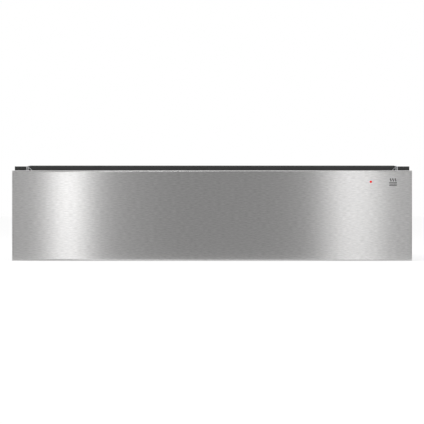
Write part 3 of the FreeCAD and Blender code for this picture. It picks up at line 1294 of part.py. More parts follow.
def thermostat_knob():
    """Round setting knob with a knurled skirt and a pointer groove."""
    low = Z_POCKET + RUN_GAP
    top = low + KNOB_HEIGHT
    knob = taper((POCKET_X, Y_KNOB, low), "z", KNOB_HEIGHT, KNOB_RADIUS, KNOB_RADIUS * 0.92)
    knob = knob.makeFillet(KNOB_RADIUS / 10, flat_edges(knob, top))
    grips = []
    for step in range(KNOB_GRIPS):
        angle = 2 * math.pi * step / KNOB_GRIPS
        x = POCKET_X + KNOB_RADIUS * 1.03 * math.cos(angle)
        y = Y_KNOB + KNOB_RADIUS * 1.03 * math.sin(angle)
        grips.append(rod((x, y, low + KNOB_SKIRT), "z", KNOB_HEIGHT, GRIP_RADIUS))
    pointer_y = (Y_KNOB - KNOB_RADIUS * 0.85, Y_KNOB - KNOB_RADIUS * 0.25)
    pointer_x = around(POCKET_X, POINTER_WIDTH)
    pointer_z = (top - POINTER_DEPTH, top + 1)
    pointer = slab(pointer_x, pointer_y, "xy", pointer_z, POINTER_WIDTH * 0.4)
    bore = rod((POCKET_X, Y_KNOB, low - 1), "z", KNOB_HEIGHT * 0.75 + 1, SPINDLE_RADIUS)
    return knob.cut(grips + [pointer, bore])


def spindle_z():
    """Lower and upper ends of the knob's spindle."""
    return (Z_POCKET - POCKET_WALL - THERMOSTAT_SIZE / 3, Z_POCKET + RUN_GAP + KNOB_HEIGHT * 0.75)


def thermostat_spindle():
    """Steel spindle that turns in the thermostat and carries the knob."""
    low, high = spindle_z()
    return rod((POCKET_X, Y_KNOB, low), "z", high - low, SPINDLE_RADIUS)


def thermostat_body():
    """Thermostat under the pocket, with its bush through the pocket's floor."""
    top = Z_POCKET - POCKET_WALL
    size = around(0, THERMOSTAT_SIZE)
    x = (POCKET_X + size[0], POCKET_X + size[1])
    y = (Y_KNOB + size[0], Y_KNOB + size[1])
    low = top - THERMOSTAT_SIZE
    body = slab(x, y, "xy", (low, top), THERMOSTAT_SIZE / 8)
    bush = rod((POCKET_X, Y_KNOB, top - 1), "z", POCKET_WALL + 1, SPINDLE_RADIUS * 1.5 - SHANK_PLAY)
    tabs = []
    for offset in (-TAB_SPACING, 0, TAB_SPACING):
        tab_x = around(POCKET_X + offset, TAB_SHEET)
        tab_y = around(Y_KNOB + offset, TAB_WIDTH)
        tabs.append(block(tab_x, tab_y, (low - TAB_LENGTH, low + TINY)))
    start = spindle_z()[0] - RUN_GAP
    length = Z_POCKET - start + 1
    bore = rod((POCKET_X, Y_KNOB, start), "z", length, SPINDLE_RADIUS + SHANK_PLAY)
    return joined([body, bush] + tabs).cut(bore)


def switch_body():
    """Snap-in rocker switch with a thin bezel on the pocket's floor."""
    cut_out = (SWITCH_WIDTH - FIT, SWITCH_LENGTH - FIT)
    low = switch_low()
    top = Z_POCKET + BEZEL_HEIGHT
    x = around(POCKET_X, cut_out[0])
    y = around(Y_SWITCH, cut_out[1])
    body = block(x, y, (low, Z_POCKET + TINY))
    bezel_x = around(POCKET_X, SWITCH_WIDTH + 2 * BEZEL_BORDER)
    bezel_y = around(Y_SWITCH, SWITCH_LENGTH + 2 * BEZEL_BORDER)
    bezel = slab(bezel_x, bezel_y, "xy", (Z_POCKET, top), BEZEL_BORDER)
    bezel = bezel.makeFillet(BEZEL_BORDER / 2, flat_edges(bezel, top))
    well_x = around(POCKET_X, key_size()[0] + 2 * RUN_GAP)
    well_y = around(Y_SWITCH, key_size()[1] + 4 * RUN_GAP)
    well = block(well_x, well_y, (Z_POCKET - SWITCH_WELL, top + 1))
    tabs = []
    for offset in (-TAB_SPACING, TAB_SPACING):
        tab_y = around(Y_SWITCH + offset, TAB_SHEET)
        tabs.append(block(around(POCKET_X, TAB_WIDTH), tab_y, (low - TAB_LENGTH, low + TINY)))
    return joined([body, bezel] + tabs).cut(well)


def switch_low():
    """Underside of the switch body."""
    return Z_POCKET - POCKET_WALL - SWITCH_DEPTH


def key_size():
    """Width and length of the rocker key."""
    return (SWITCH_WIDTH - 3 * BEZEL_BORDER, SWITCH_LENGTH - 4 * BEZEL_BORDER)


def rocker_pivot():
    """Height of the rocker's pivot."""
    return Z_POCKET + PIVOT_RISE


def rocker_key():
    """Rocker key, shown leaning to its off side."""
    wide, long = key_size()
    half = long / 2
    lean = math.radians(SWITCH_TILT)
    dip = half * math.tan(lean)
    foot = half * 0.55
    outline = [(-half, KEY_CREST + dip), (0, KEY_CREST), (half, KEY_CREST + dip)]
    outline += [(foot, -KEY_FOOT), (-foot, -KEY_FOOT)]
    points = []
    for along, up in outline:
        y = along * math.cos(lean) - up * math.sin(lean)
        z = along * math.sin(lean) + up * math.cos(lean)
        points.append((Y_SWITCH + y, rocker_pivot() + z))
    radii = [KEY_EDGE, KEY_VALLEY, KEY_EDGE, KEY_EDGE, KEY_EDGE]
    return prism(points, "yz", around(POCKET_X, wide), radii)


# ---------------------------------------------------------------- latch, terminals and leads
def striker_plate():
    """Steel disc on the chassis back wall, which the latch's plunger meets."""
    y = Y_CHASSIS[1]
    disc = rod((0, y, Z_LATCH), "y", STRIKER_HEIGHT, STRIKER_RADIUS)
    pin = rod((0, y - 2 * CHASSIS_SHEET, Z_LATCH), "y", 3 * CHASSIS_SHEET, SCREW_RADIUS)
    return joined([disc, pin])


def latch_front():
    """Y place of the latch housing's front face."""
    return Y_BACK_IN - LATCH_DEPTH


def latch_housing():
    """Plastic housing on the back panel that guides the plunger."""
    front = latch_front()
    height = LATCH_RADIUS * 2 + 4 * LATCH_WALL
    x = around(0, LATCH_WIDTH)
    body = slab(x, around(Z_LATCH, height), "xz", (front, Y_BACK_IN), LATCH_WALL / 2)
    chamber_start = front + LATCH_WALL
    chamber = LATCH_DEPTH - 2 * LATCH_WALL
    cuts = [rod((0, chamber_start, Z_LATCH), "y", chamber, LATCH_RADIUS * 1.4)]
    guide = LATCH_RADIUS + SHANK_PLAY
    cuts.append(rod((0, front - 1, Z_LATCH), "y", LATCH_WALL + 2, guide))
    for place, direction, length in latch_screws():
        cuts.append(screw_hole(place, direction, length))
    return body.cut(cuts)


def plunger_collar():
    """Y range of the collar that keeps the plunger in its housing."""
    start = latch_front() + LATCH_WALL + RUN_GAP
    return (start, start + LATCH_WALL * 0.75)


def latch_plunger():
    """Plunger with a rounded tip, a collar and a tail that guides the spring."""
    start, end = plunger_collar()
    nose = rod((0, Y_LATCH_TIP, Z_LATCH), "y", start - Y_LATCH_TIP + 1, LATCH_RADIUS)
    tip = [edge for edge in nose.Edges if edge.BoundBox.YMax < Y_LATCH_TIP + TINY]
    nose = nose.makeFillet(LATCH_RADIUS * 0.4, tip)
    collar = rod((0, start, Z_LATCH), "y", end - start, LATCH_RADIUS * 1.3)
    tail = rod((0, end - 1, Z_LATCH), "y", 2 * LATCH_STROKE, LATCH_RADIUS * 0.6)
    return joined([nose, collar, tail])


def latch_spring():
    """Coil spring between the plunger's collar and the housing's rear wall."""
    start = plunger_collar()[1] + SPRING_WIRE + STOP_PLAY
    end = Y_BACK_IN - LATCH_WALL - SPRING_WIRE - STOP_PLAY
    radius = LATCH_RADIUS * 1.05
    spine = Part.makeHelix((end - start) / SPRING_TURNS, end - start, radius)
    first = FreeCAD.Vector(radius, 0, 0)
    section = Part.Wire(Part.Circle(first, AXES["y"], SPRING_WIRE).toShape())
    coil = Part.Wire(spine.Edges).makePipeShell([section], True, True)
    turn = FreeCAD.Rotation(AXES["z"], AXES["y"])
    coil.Placement = FreeCAD.Placement(FreeCAD.Vector(0, start, Z_LATCH), turn)
    return coil


def terminal_cover():
    """Moulded cover over the terminals, open towards the back panel, with two screw tabs."""
    y = (Y_BACK, Y_BACK + COVER_DEPTH)
    shell = slab(COVER_X, Z_COVER, "xz", y, COVER_WALL * 1.5)
    outer_rim = [edge for edge in shell.Edges if edge.BoundBox.YMin > y[1] - TINY]
    shell = shell.makeFillet(COVER_WALL * 0.75, outer_rim)
    inner_x = (COVER_X[0] + COVER_WALL, COVER_X[1] - COVER_WALL)
    inner_z = (Z_COVER[0] + COVER_WALL, Z_COVER[1] - COVER_WALL)
    inner = block(inner_x, (y[0] - 1, y[1] - COVER_WALL), inner_z)
    reach = 2 * SCREW_HEAD
    tab_z = (Z_COVER[0] - reach, Z_COVER[1] + reach)
    tab_y = (Y_BACK, Y_BACK + COVER_WALL)
    tabs = slab(around(TERMINAL_X, 4 * SCREW_HEAD), tab_z, "xz", tab_y, SCREW_HEAD)
    cuts = [inner, gland_rod(COVER_X[0] - 1, COVER_WALL + 2, GLAND_RADIUS + SHANK_PLAY)]
    cuts += [screw_hole(*place) for place in cover_screws()]
    return joined([shell, tabs]).cut(cuts)


def gland_centre():
    """Y and Z of the cable gland's axis."""
    return (Y_BACK + (COVER_DEPTH - COVER_WALL) / 2, Z_COVER[1] - COVER_HEIGHT / 3)


def gland_rod(start_x, length, radius):
    """A round bar on the gland's axis."""
    y, z = gland_centre()
    return rod((start_x, y, z), "x", length, radius)


def cable_gland():
    """Gland in the side of the terminal cover, with a lock nut inside and a domed nut outside."""
    y, z = gland_centre()
    wall_out = COVER_X[0]
    inside = wall_out + COVER_WALL
    end = wall_out - GLAND_LENGTH
    sleeve_length = GLAND_LENGTH + COVER_WALL + GLAND_NUT
    sleeve = gland_rod(end, sleeve_length, GLAND_RADIUS)
    across = GLAND_RADIUS * 1.25
    pieces = [sleeve]
    for start, length in ((wall_out - GLAND_NUT, GLAND_NUT), (inside, LOCK_NUT)):
        corners = []
        for step in range(6):
            angle = math.pi / 3 * step
            corners.append((y + across * math.cos(angle), z + across * math.sin(angle)))
        pieces.append(prism(corners, "yz", (start, start + length)))
    dome_length = GLAND_LENGTH - GLAND_NUT - 1
    pieces.append(gland_rod(end + 1, dome_length, GLAND_RADIUS * 1.15))
    return joined(pieces).cut(gland_rod(end - 1, sleeve_length + 2, GLAND_BORE))


def terminal_block():
    """Three-pole terminal block on the back panel, over the lead's passage."""
    base_x = around(TERMINAL_X, 3 * POLE_SPACING + 2 * POLE_BORE)
    base_y = (Y_BACK, Y_BACK + TERMINAL_BASE)
    body = block(base_x, base_y, around(Z_LEAD, TERMINAL_HEIGHT))
    towers = []
    lead_hole = LEAD_RADIUS + SHANK_PLAY
    cuts = [rod((TERMINAL_X, Y_BACK - 1, Z_LEAD), "y", terminal_seat() + 1, lead_hole)]
    tower_y = (base_y[1] - TINY, Y_BACK + COVER_DEPTH - COVER_WALL - STOP_PLAY)
    for offset in (-POLE_SPACING, 0, POLE_SPACING):
        x = TERMINAL_X + offset
        tower_x = around(x, POLE_SPACING - POLE_BORE)
        towers.append(block(tower_x, tower_y, around(Z_LEAD, TERMINAL_HEIGHT - 2 * POLE_BORE)))
        for z in around(Z_LEAD, TERMINAL_HEIGHT / 2):
            cuts.append(rod((x, tower_y[1] - 2 * POLE_BORE, z), "y", 3 * POLE_BORE, POLE_BORE))
    return joined([body] + towers).cut(cuts)


def terminal_seat():
    """How far the supply lead goes into the terminal block."""
    return TERMINAL_BASE * 0.6


def clip_places():
    """The x places of the lead clips on the back panel."""
    reach = (LEAD_TURN_X - TERMINAL_X) / 2
    return [TERMINAL_X + reach * 0.3, TERMINAL_X + reach * 0.8, TERMINAL_X + reach * 1.3]


def lead_clips():
    """Clips pushed into the back panel, closed round the supply lead."""
    clips = []
    inner = LEAD_RADIUS + SHANK_PLAY
    for x in clip_places():
        span = around(x, LEAD_CLIP_WIDTH)
        outer = inner + LEAD_CLIP_WALL
        ring = rod((span[0], Y_LEAD, Z_LEAD), "x", LEAD_CLIP_WIDTH, outer)
        foot = block(span, (Y_LEAD, Y_BACK_IN), around(Z_LEAD, 2 * outer))
        peg = rod((x, Y_BACK_IN - TINY, Z_LEAD), "y", 2 * CASE_SHEET, SCREW_RADIUS)
        hole = rod((span[0] - 1, Y_LEAD, Z_LEAD), "x", LEAD_CLIP_WIDTH + 2, inner)
        clips.append(joined([ring, foot, peg]).cut(hole))
    return group(clips)


def supply_lead():
    """Flexible lead from the terminal block to the drawer, laid in a loop behind it."""
    turn = (Y_LEAD - Y_LEAD_IN) / 2
    far = LEAD_TURN_X + turn
    points = [(TERMINAL_X, Y_BACK + terminal_seat(), Z_LEAD), (TERMINAL_X, Y_LEAD, Z_LEAD)]
    points += [(far, Y_LEAD, Z_LEAD), (far, Y_LEAD_IN, Z_LEAD)]
    points += [(LEAD_ENTRY_X, Y_LEAD_IN, Z_LEAD), (LEAD_ENTRY_X, lead_end(), Z_LEAD)]
    first = min(LEAD_BEND, Y_BACK - Y_LEAD)
    return tube(points, [first, turn, turn, LEAD_BEND], LEAD_RADIUS)


def lead_end():
    """Y place where the supply lead ends in the drawer's connector."""
    return Y_CHASSIS[1] - CHASSIS_SHEET - LEAD_RADIUS


def wiring_loom():
    """Leads inside the drawer: lamp, switch, thermostat, fan motor and the supply connector."""
    size = 4 * LOOM_RADIUS
    plug_y = (lead_end() - size, lead_end())
    plug = block(around(LEAD_ENTRY_X, 1.6 * size), plug_y, around(Z_LEAD, 1.2 * size))
    rear = plug_y[0] - size
    low = Z_POCKET - POCKET_WALL - THERMOSTAT_SIZE - 3 * size
    points = [(POCKET_X, Y_SWITCH, switch_low()), (POCKET_X, Y_SWITCH, low)]
    points += [(POCKET_X, rear, low), (POCKET_X, rear, Z_LEAD), (LEAD_ENTRY_X, rear, Z_LEAD)]
    points.append((LEAD_ENTRY_X, plug_y[0], Z_LEAD))
    trunk = tube(points, 3 * LOOM_RADIUS, LOOM_RADIUS)
    clear = LOOM_RADIUS + FIT
    drop = rod((POCKET_X, Y_KNOB, low + clear), "z", 2.4 * size - clear, LOOM_RADIUS)
    behind = Y_LINER + 1.5 * FRONT_BAY
    branch = low + size
    lamp = [(LAMP_X, Y_BOARD, lamp_lead_z()), (LAMP_X, behind, lamp_lead_z())]
    lamp += [(POCKET_X, behind + size, branch), (POCKET_X, Y_SWITCH - clear, branch)]
    return group([trunk, drop, plug, tube(lamp, 3 * LOOM_RADIUS, LOOM_RADIUS)])


def drawer_screws():
    """Screws of the front brackets, drawer runners, tray lips and fan cover."""
    places = liner_screws() + bracket_screws() + slide_screws() + lip_screws()
    right = [screw(*place) for place in places]
    return group(both_sides(right) + [screw(*place) for place in fan_screws()])


# ---------------------------------------------------------------- all pieces
def all_pieces():
    """Every named piece of the drawer."""
    pieces = {
        "case_base": case_base(),
        "case_side_right": case_side(),
        "case_top": case_top(),
        "case_back": case_back(),
        "top_front_rail": top_front_rail(),
        "mounting_flange_right": mounting_flange(),
        "corner_gussets": corner_gussets(),
        "flange_buffers": flange_buffers(),
        "case_rivets": case_rivets(),
        "case_screws": case_screws(),
        "glide_feet": glide_feet(),
        "cabinet_runner_right": cabinet_runner(),
        "middle_runner_right": middle_runner(),
        "drawer_runner_right": drawer_runner(),
        "outer_ball_cage_right": ball_cage(OUTER_CAGE_WEB, OUTER_ROW),
        "inner_ball_cage_right": ball_cage(INNER_CAGE_WEB, INNER_ROW),
        "terminal_block": terminal_block(),
        "terminal_cover": terminal_cover(),
        "cable_gland": cable_gland(),
        "latch_housing": latch_housing(),
        "latch_spring": latch_spring(),
        "latch_plunger": latch_plunger(),
        "supply_lead": supply_lead(),
        "lead_clips": lead_clips(),
        "front_panel": front_panel(),
        "front_liner": front_liner(),
        "front_brackets": group(both_sides([front_bracket()])),
        "indicator_lens": indicator_lens(),
        "lamp_board": lamp_board(),
        "drawer_chassis": drawer_chassis(),
        "drawer_screws": drawer_screws(),
        "tray": tray(),
        "anti_slip_mat": anti_slip_mat(),
        "floor_heater": floor_heater(),
        "heater_clips": heater_clips(),
        "insulation_pad": insulation_pad(),
        "fan_cover": fan_cover(),
        "fan_housing": fan_housing(),
        "ring_heater": ring_heater(),
        "impeller": impeller(),
        "motor_rotor": motor_rotor(),
        "motor_core": motor_core(),
        "motor_coil": motor_coil(),
        "motor_brackets": motor_brackets(),
        "control_housing": control_housing(),
        "thermostat_knob": thermostat_knob(),
        "thermostat_spindle": thermostat_spindle(),
        "thermostat_body": thermostat_body(),
        "switch_body": switch_body(),
        "rocker_key": rocker_key(),
        "wiring_loom": wiring_loom(),
        "striker_plate": striker_plate(),
    }
    for name in [name for name in pieces if name.endswith("_right")]:
        pieces[name.replace("_right", "_left")] = mirrored(pieces[name])
    return pieces


def main():
    """Check each piece and write it to its own file."""
    os.makedirs("parts", exist_ok=True)
    for name, shape in all_pieces().items():
        if not shape.isValid() or shape.Volume <= 0:
            raise ValueError(name + " isn't a sound solid")
        shape.exportStep("parts/" + name + ".step")
        box = shape.BoundBox
        print(name, len(shape.Solids), "solids", round(shape.Volume / 1000, 2), "cm3",
              [round(value, 1) for value in (box.XMin, box.YMin, box.ZMin)],
              [round(value, 1) for value in (box.XMax, box.YMax, box.ZMax)])


main()
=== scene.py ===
import math

import bmesh
import bpy
import numpy as np
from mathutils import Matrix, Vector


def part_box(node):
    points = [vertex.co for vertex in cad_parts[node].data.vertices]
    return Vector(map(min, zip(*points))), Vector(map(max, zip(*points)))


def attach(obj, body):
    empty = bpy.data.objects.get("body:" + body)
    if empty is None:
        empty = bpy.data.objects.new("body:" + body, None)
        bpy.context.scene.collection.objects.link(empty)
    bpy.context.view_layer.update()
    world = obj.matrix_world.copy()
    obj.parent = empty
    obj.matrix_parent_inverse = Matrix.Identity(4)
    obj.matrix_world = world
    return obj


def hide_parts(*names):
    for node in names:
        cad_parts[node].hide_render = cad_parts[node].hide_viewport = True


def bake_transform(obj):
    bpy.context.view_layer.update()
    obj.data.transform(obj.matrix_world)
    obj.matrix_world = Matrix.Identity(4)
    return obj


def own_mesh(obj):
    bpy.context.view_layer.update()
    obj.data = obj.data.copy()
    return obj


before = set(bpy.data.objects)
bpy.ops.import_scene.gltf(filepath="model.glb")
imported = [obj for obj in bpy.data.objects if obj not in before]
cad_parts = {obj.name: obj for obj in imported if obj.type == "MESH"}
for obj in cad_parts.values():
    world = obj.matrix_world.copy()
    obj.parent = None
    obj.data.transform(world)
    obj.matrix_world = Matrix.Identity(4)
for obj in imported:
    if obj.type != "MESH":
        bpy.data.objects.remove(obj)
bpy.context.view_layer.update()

# ------------------------------------------------------------------ camera
# The drawer is seen square on, from three metres in front of its steel front and level with a
# point just above the middle of that front.
front_low, front_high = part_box("front_panel")
camera_away = 3.0
camera_rise = 0.0052
camera_aside = -0.0001
camera_data = bpy.data.cameras.new("camera")
camera_data.sensor_width = 36.0
camera_data.lens = 171.4
camera = bpy.data.objects.new("camera", camera_data)
camera.location = (camera_aside, front_low.y - camera_away,
                   (front_low.z + front_high.z) / 2 + camera_rise)
camera.rotation_euler = (math.pi / 2, 0, 0)
bpy.context.scene.collection.objects.link(camera)
bpy.context.scene.camera = camera

# ------------------------------------------------------------------ room
# A white studio: a pale floor and a pale surround. The side that the steel front faces is a grey
# wall, so that the front keeps its own grey, and tall lamps beside the camera draw its bands.
world = bpy.data.worlds.new("studio")
bpy.context.scene.world = world
world.use_nodes = True
air = world.node_tree
air.nodes.clear()


def wired(tree, kind, inputs=(), **settings):
    """A node of that kind, with its settings, and its inputs given as values or other sockets."""
    node = tree.nodes.new(kind)
    for name, value in settings.items():
        setattr(node, name, value)
    for name, value in dict(inputs).items():
        if isinstance(value, bpy.types.NodeSocket):
            tree.links.new(value, node.inputs[name])
        else:
            node.inputs[name].default_value = value
    return node


# a level way's y is -1 towards the wall that the front faces, and a way's z is 1 straight up
wall_grey, wall_edge, wall_end = 0.340, -0.99, -0.7
ceiling_start, ceiling_full = 0.5, 0.75
white = (1, 1, 1, 1)
direction = wired(air, "ShaderNodeTexCoord").outputs["Generated"]
level_way = wired(air, "ShaderNodeVectorMath", {0: direction, 1: (1, 1, 0)}, operation="MULTIPLY")
compass = wired(air, "ShaderNodeVectorMath", {0: level_way.outputs[0]}, operation="NORMALIZE")
parts_of_way = wired(air, "ShaderNodeSeparateXYZ", {"Vector": compass.outputs[0]})
grey_wall = wired(air, "ShaderNodeMapRange", {
    "Value": parts_of_way.outputs["Y"], "From Min": wall_edge, "From Max": wall_end,
    "To Min": wall_grey, "To Max": 1.0}, interpolation_type="SMOOTHSTEP")
height_of_way = wired(air, "ShaderNodeSeparateXYZ", {"Vector": direction})
white_ceiling = wired(air, "ShaderNodeMapRange", {
    "Value": height_of_way.outputs["Z"], "From Min": ceiling_start, "From Max": ceiling_full,
    "To Min": 0.0, "To Max": 1.0}, interpolation_type="SMOOTHSTEP")
wall_or_ceiling = wired(air, "ShaderNodeMath", {
    0: grey_wall.outputs["Result"], 1: white_ceiling.outputs["Result"]}, operation="MAXIMUM")
seen_by = wired(air, "ShaderNodeLightPath")
surround = wired(air, "ShaderNodeBackground", {"Color": wall_or_ceiling.outputs[0]})
daylight = wired(air, "ShaderNodeBackground", {"Color": white})
glossy_or_not = wired(air, "ShaderNodeMixShader", {
    0: seen_by.outputs["Is Glossy Ray"], 1: daylight.outputs[0], 2: surround.outputs[0]})
seen_or_not = wired(air, "ShaderNodeMixShader", {
    0: seen_by.outputs["Is Camera Ray"], 1: glossy_or_not.outputs[0], 2: daylight.outputs[0]})
wired(air, "ShaderNodeOutputWorld", {"Surface": seen_or_not.outputs[0]})


def lamp(name, place, aim, size, power, glossy=True, diffuse=True):
    """A rectangular lamp that faces the point it aims at and that the camera doesn't see."""
    data = bpy.data.lights.new(name, "AREA")
    data.shape = "RECTANGLE"
    data.size, data.size_y = size
    data.energy = power
    thing = bpy.data.objects.new(name, data)
    thing.location = place
    way = np.subtract(aim, place)
    across = math.hypot(way[0], way[1])
    thing.rotation_euler = (math.atan2(across, -way[2]), 0,
                            math.atan2(way[1], way[0]) - math.pi / 2)
    thing.visible_camera = False
    thing.visible_glossy = glossy
    thing.visible_diffuse = diffuse
    bpy.context.scene.collection.objects.link(thing)


drawer_middle = (0, 0, 0.07)
lamp("overhead_lamp", (-0.9, -1.1, 2.2), drawer_middle, size=(1.6, 1.6), power=22, glossy=False)
lamp("fill_lamp", (1.4, -1.6, 1.2), drawer_middle, size=(1.2, 1.2), power=9, glossy=False)
# upright strips that only show as reflections: the low ones draw the bands on the front's face,
# and the high ones light its top bend. Each has its middle, its width, its two ends and its power.
strip_gap = 1.0
low_strip, high_strip = (0.0, 0.18), (0.5, 1.3)
for name, strip_x, width, (bottom, top), power in (
        ("left_strip", -0.286, 0.058, low_strip, 0.275),
        ("right_strip", 0.285, 0.104, low_strip, 0.262),
        ("far_left_strip", -0.45, 0.16, low_strip, 0.092),
        ("far_right_strip", 0.45, 0.16, low_strip, 0.122),
        ("left_shoulder_strip", -0.17, 0.13, low_strip, 0.016),
        ("high_left_strip", -0.286, 0.058, high_strip, 0.6),
        ("high_right_strip", 0.285, 0.104, high_strip, 0.55)):
    strip_z = (bottom + top) / 2
    lamp(name, (strip_x, front_low.y - strip_gap, strip_z), (strip_x, front_low.y, strip_z),
         (width, top - bottom), power, diffuse=False)

# the floor shows nearly white and keeps the drawer's shadow, and in the steel it shows as grey,
# but for a pale line close to the front, which lights the bottom bend
floor_reach = 30.0
floor_sink = 0.0002         # under the feet, so that no faces lie on each other
floor_colour = (0.93, 0.93, 0.93, 1)
floor_white_share = 0.6
mirrored_grey, mirrored_pale = 0.35, 0.9
pale_from, pale_to = front_low.y - 0.016, front_low.y - 0.006
floor_mesh = bpy.data.meshes.new("floor")
corners = [(-floor_reach, -floor_reach, 0), (floor_reach, -floor_reach, 0),
           (floor_reach, floor_reach, 0), (-floor_reach, floor_reach, 0)]
floor_mesh.from_pydata(corners, [], [(0, 1, 2, 3)])
floor = bpy.data.objects.new("floor", floor_mesh)
floor.location = (0, 0, -floor_sink)
bpy.context.scene.collection.objects.link(floor)
floor_finish = bpy.data.materials.new("pale_floor")
floor_finish.use_nodes = True
floor_nodes = floor_finish.node_tree
floor_nodes.nodes.clear()
floor_ray = wired(floor_nodes, "ShaderNodeLightPath")
floor_matt = wired(floor_nodes, "ShaderNodeBsdfDiffuse", {"Color": floor_colour})
floor_place = wired(floor_nodes, "ShaderNodeTexCoord")
floor_parts = wired(floor_nodes, "ShaderNodeSeparateXYZ", {"Vector": floor_place.outputs["Object"]})
floor_tone = wired(floor_nodes, "ShaderNodeMapRange", {
    "Value": floor_parts.outputs["Y"], "From Min": pale_from, "From Max": pale_to,
    "To Min": mirrored_grey, "To Max": mirrored_pale}, interpolation_type="SMOOTHSTEP")
floor_grey = wired(floor_nodes, "ShaderNodeEmission", {"Color": floor_tone.outputs["Result"]})
floor_white = wired(floor_nodes, "ShaderNodeEmission", {"Color": white})
floor_lift = wired(floor_nodes, "ShaderNodeMath", {
    0: floor_ray.outputs["Is Camera Ray"], 1: floor_white_share}, operation="MULTIPLY")
floor_seen = wired(floor_nodes, "ShaderNodeMixShader", {
    0: floor_lift.outputs[0], 1: floor_matt.outputs[0], 2: floor_white.outputs[0]})
floor_mix = wired(floor_nodes, "ShaderNodeMixShader", {
    0: floor_ray.outputs["Is Glossy Ray"], 1: floor_seen.outputs[0], 2: floor_grey.outputs[0]})
wired(floor_nodes, "ShaderNodeOutputMaterial", {"Surface": floor_mix.outputs[0]})
floor_mesh.materials.append(floor_finish)

# ------------------------------------------------------------------ case sheets
# Hot-dip galvanised steel, one millimetre thick: a base, two folded side walls, a top and a back,
# with two corner plates behind the rail. Zinc freezes on it in large faint crystals.
def finish(name, colour, rough, metal=0.0):
    """A new material and its shader, with plain colour, roughness and metal set on the shader."""
    material = bpy.data.materials.new(name)
    material.use_nodes = True
    tree = material.node_tree
    tree.nodes.clear()
    shader = wired(tree, "ShaderNodeBsdfPrincipled", {
        "Base Color": colour, "Roughness": rough, "Metallic": metal})
    wired(tree, "ShaderNodeOutputMaterial", {"Surface": shader.outputs[0]})
    return material, tree, shader


def dress(material, *names):
    """Gives a finish to parts that keep their own mesh."""
    for name in names:
        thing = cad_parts[name]
        thing.data.materials.clear()
        thing.data.materials.append(material)


def on_object(tree, scale=(1, 1, 1)):
    """Places on the object in metres, each axis times its scale: a small scale draws a pattern
    out along that axis."""
    place = wired(tree, "ShaderNodeTexCoord")
    return wired(tree, "ShaderNodeMapping", {
        "Vector": place.outputs["Object"], "Scale": scale}).outputs[0]


def noise(tree, where, scale, detail=3.0, rough=0.55):
    """Cloudy noise, 0 to 1, with that many clouds in a metre."""
    return wired(tree, "ShaderNodeTexNoise", {
        "Vector": where, "Scale": scale, "Detail": detail, "Roughness": rough}).outputs["Fac"]


def between(tree, value, low, high, start=0.3, end=0.7):
    """A value that runs from low to high as the given one runs from start to end."""
    return wired(tree, "ShaderNodeMapRange", {
        "Value": value, "From Min": start, "From Max": end,
        "To Min": low, "To Max": high}).outputs["Result"]


def shaded(tree, shader, colour, share):
    """Multiplies a colour by a share that changes over the surface."""
    mixed = wired(tree, "ShaderNodeVectorMath", {0: colour[:3], "Scale": share}, operation="SCALE")
    tree.links.new(mixed.outputs[0], shader.inputs["Base Color"])


def raised(tree, shader, height, depth):
    """Relief on the surface; depth is in metres."""
    relief = wired(tree, "ShaderNodeBump", {"Height": height, "Strength": 1.0, "Distance": depth})
    tree.links.new(relief.outputs[0], shader.inputs["Normal"])


zinc_colour = (0.60, 0.61, 0.62, 1)
crystals_per_metre = 85
clouds_per_metre = 14
zinc, tree, shader = finish("galvanised_sheet", zinc_colour, rough=0.42, metal=1.0)
where = on_object(tree)
crystal = wired(tree, "ShaderNodeTexVoronoi", {"Vector": where, "Scale": crystals_per_metre})
crystal_tone = wired(tree, "ShaderNodeSeparateColor", {"Color": crystal.outputs["Color"]})
cloud = noise(tree, where, clouds_per_metre)
crystal_share = between(tree, crystal_tone.outputs["Red"], low=0.94, high=1.05, start=0, end=1)
both = wired(tree, "ShaderNodeMath", {
    0: crystal_share, 1: between(tree, cloud, low=0.94, high=1.04)}, operation="MULTIPLY")
shaded(tree, shader, zinc_colour, both.outputs[0])
tree.links.new(between(tree, crystal_tone.outputs["Green"], low=0.34, high=0.50, start=0, end=1),
               shader.inputs["Roughness"])
raised(tree, shader, noise(tree, where, scale=900, detail=2), depth=0.00002)
dress(zinc, "case_base", "case_side_left", "case_side_right", "case_top", "case_back",
      "corner_gussets", "drawer_chassis", "fan_housing", "front_brackets", "heater_clips",
      "motor_brackets", "striker_plate")

# ------------------------------------------------------------------ front rail and flanges
# The rail over the opening and the two screw-on angles beside it, folded from sheet and powder
# coated satin black. The coat has a slight orange peel.
def tone(red, green=None, blue=None):
    """A linear colour from screen values of 0 to 255; one value alone is a grey. A screen value s,
    from 0 to 1, becomes ((s + 0.055) / 1.055) ** 2.4, or s / 12.92 where it is below 0.04045."""
    values = [red, red if green is None else green, red if blue is None else blue]
    shares = np.array(values) / 255
    linear = np.where(shares > 0.04045, ((shares + 0.055) / 1.055) ** 2.4, shares / 12.92)
    return (*(float(value) for value in linear), 1.0)


coat_colour = tone(37)
coat, tree, shader = finish("black_powder_coat", coat_colour, rough=0.45)
where = on_object(tree)
peel = noise(tree, where, scale=700, detail=2)
shaded(tree, shader, coat_colour, between(tree, noise(tree, where, scale=22), low=0.88, high=1.14))
tree.links.new(between(tree, peel, low=0.40, high=0.52), shader.inputs["Roughness"])
raised(tree, shader, peel, depth=0.00006)
dress(coat, "top_front_rail", "mounting_flange_left", "mounting_flange_right")

# ------------------------------------------------------------------ buffers and feet
# Four soft rubber discs that stop the front when it is pushed in, and six hard plastic feet pressed
# up through the case's flanges.
rubber_colour = (0.075, 0.075, 0.078, 1)
rubber, tree, shader = finish("matt_rubber", rubber_colour, rough=0.85)
where = on_object(tree)
bloom = noise(tree, where, scale=45)
shaded(tree, shader, rubber_colour, between(tree, bloom, low=0.86, high=1.18))
raised(tree, shader, noise(tree, where, scale=2600, detail=2), depth=0.00005)
dress(rubber, "flange_buffers")


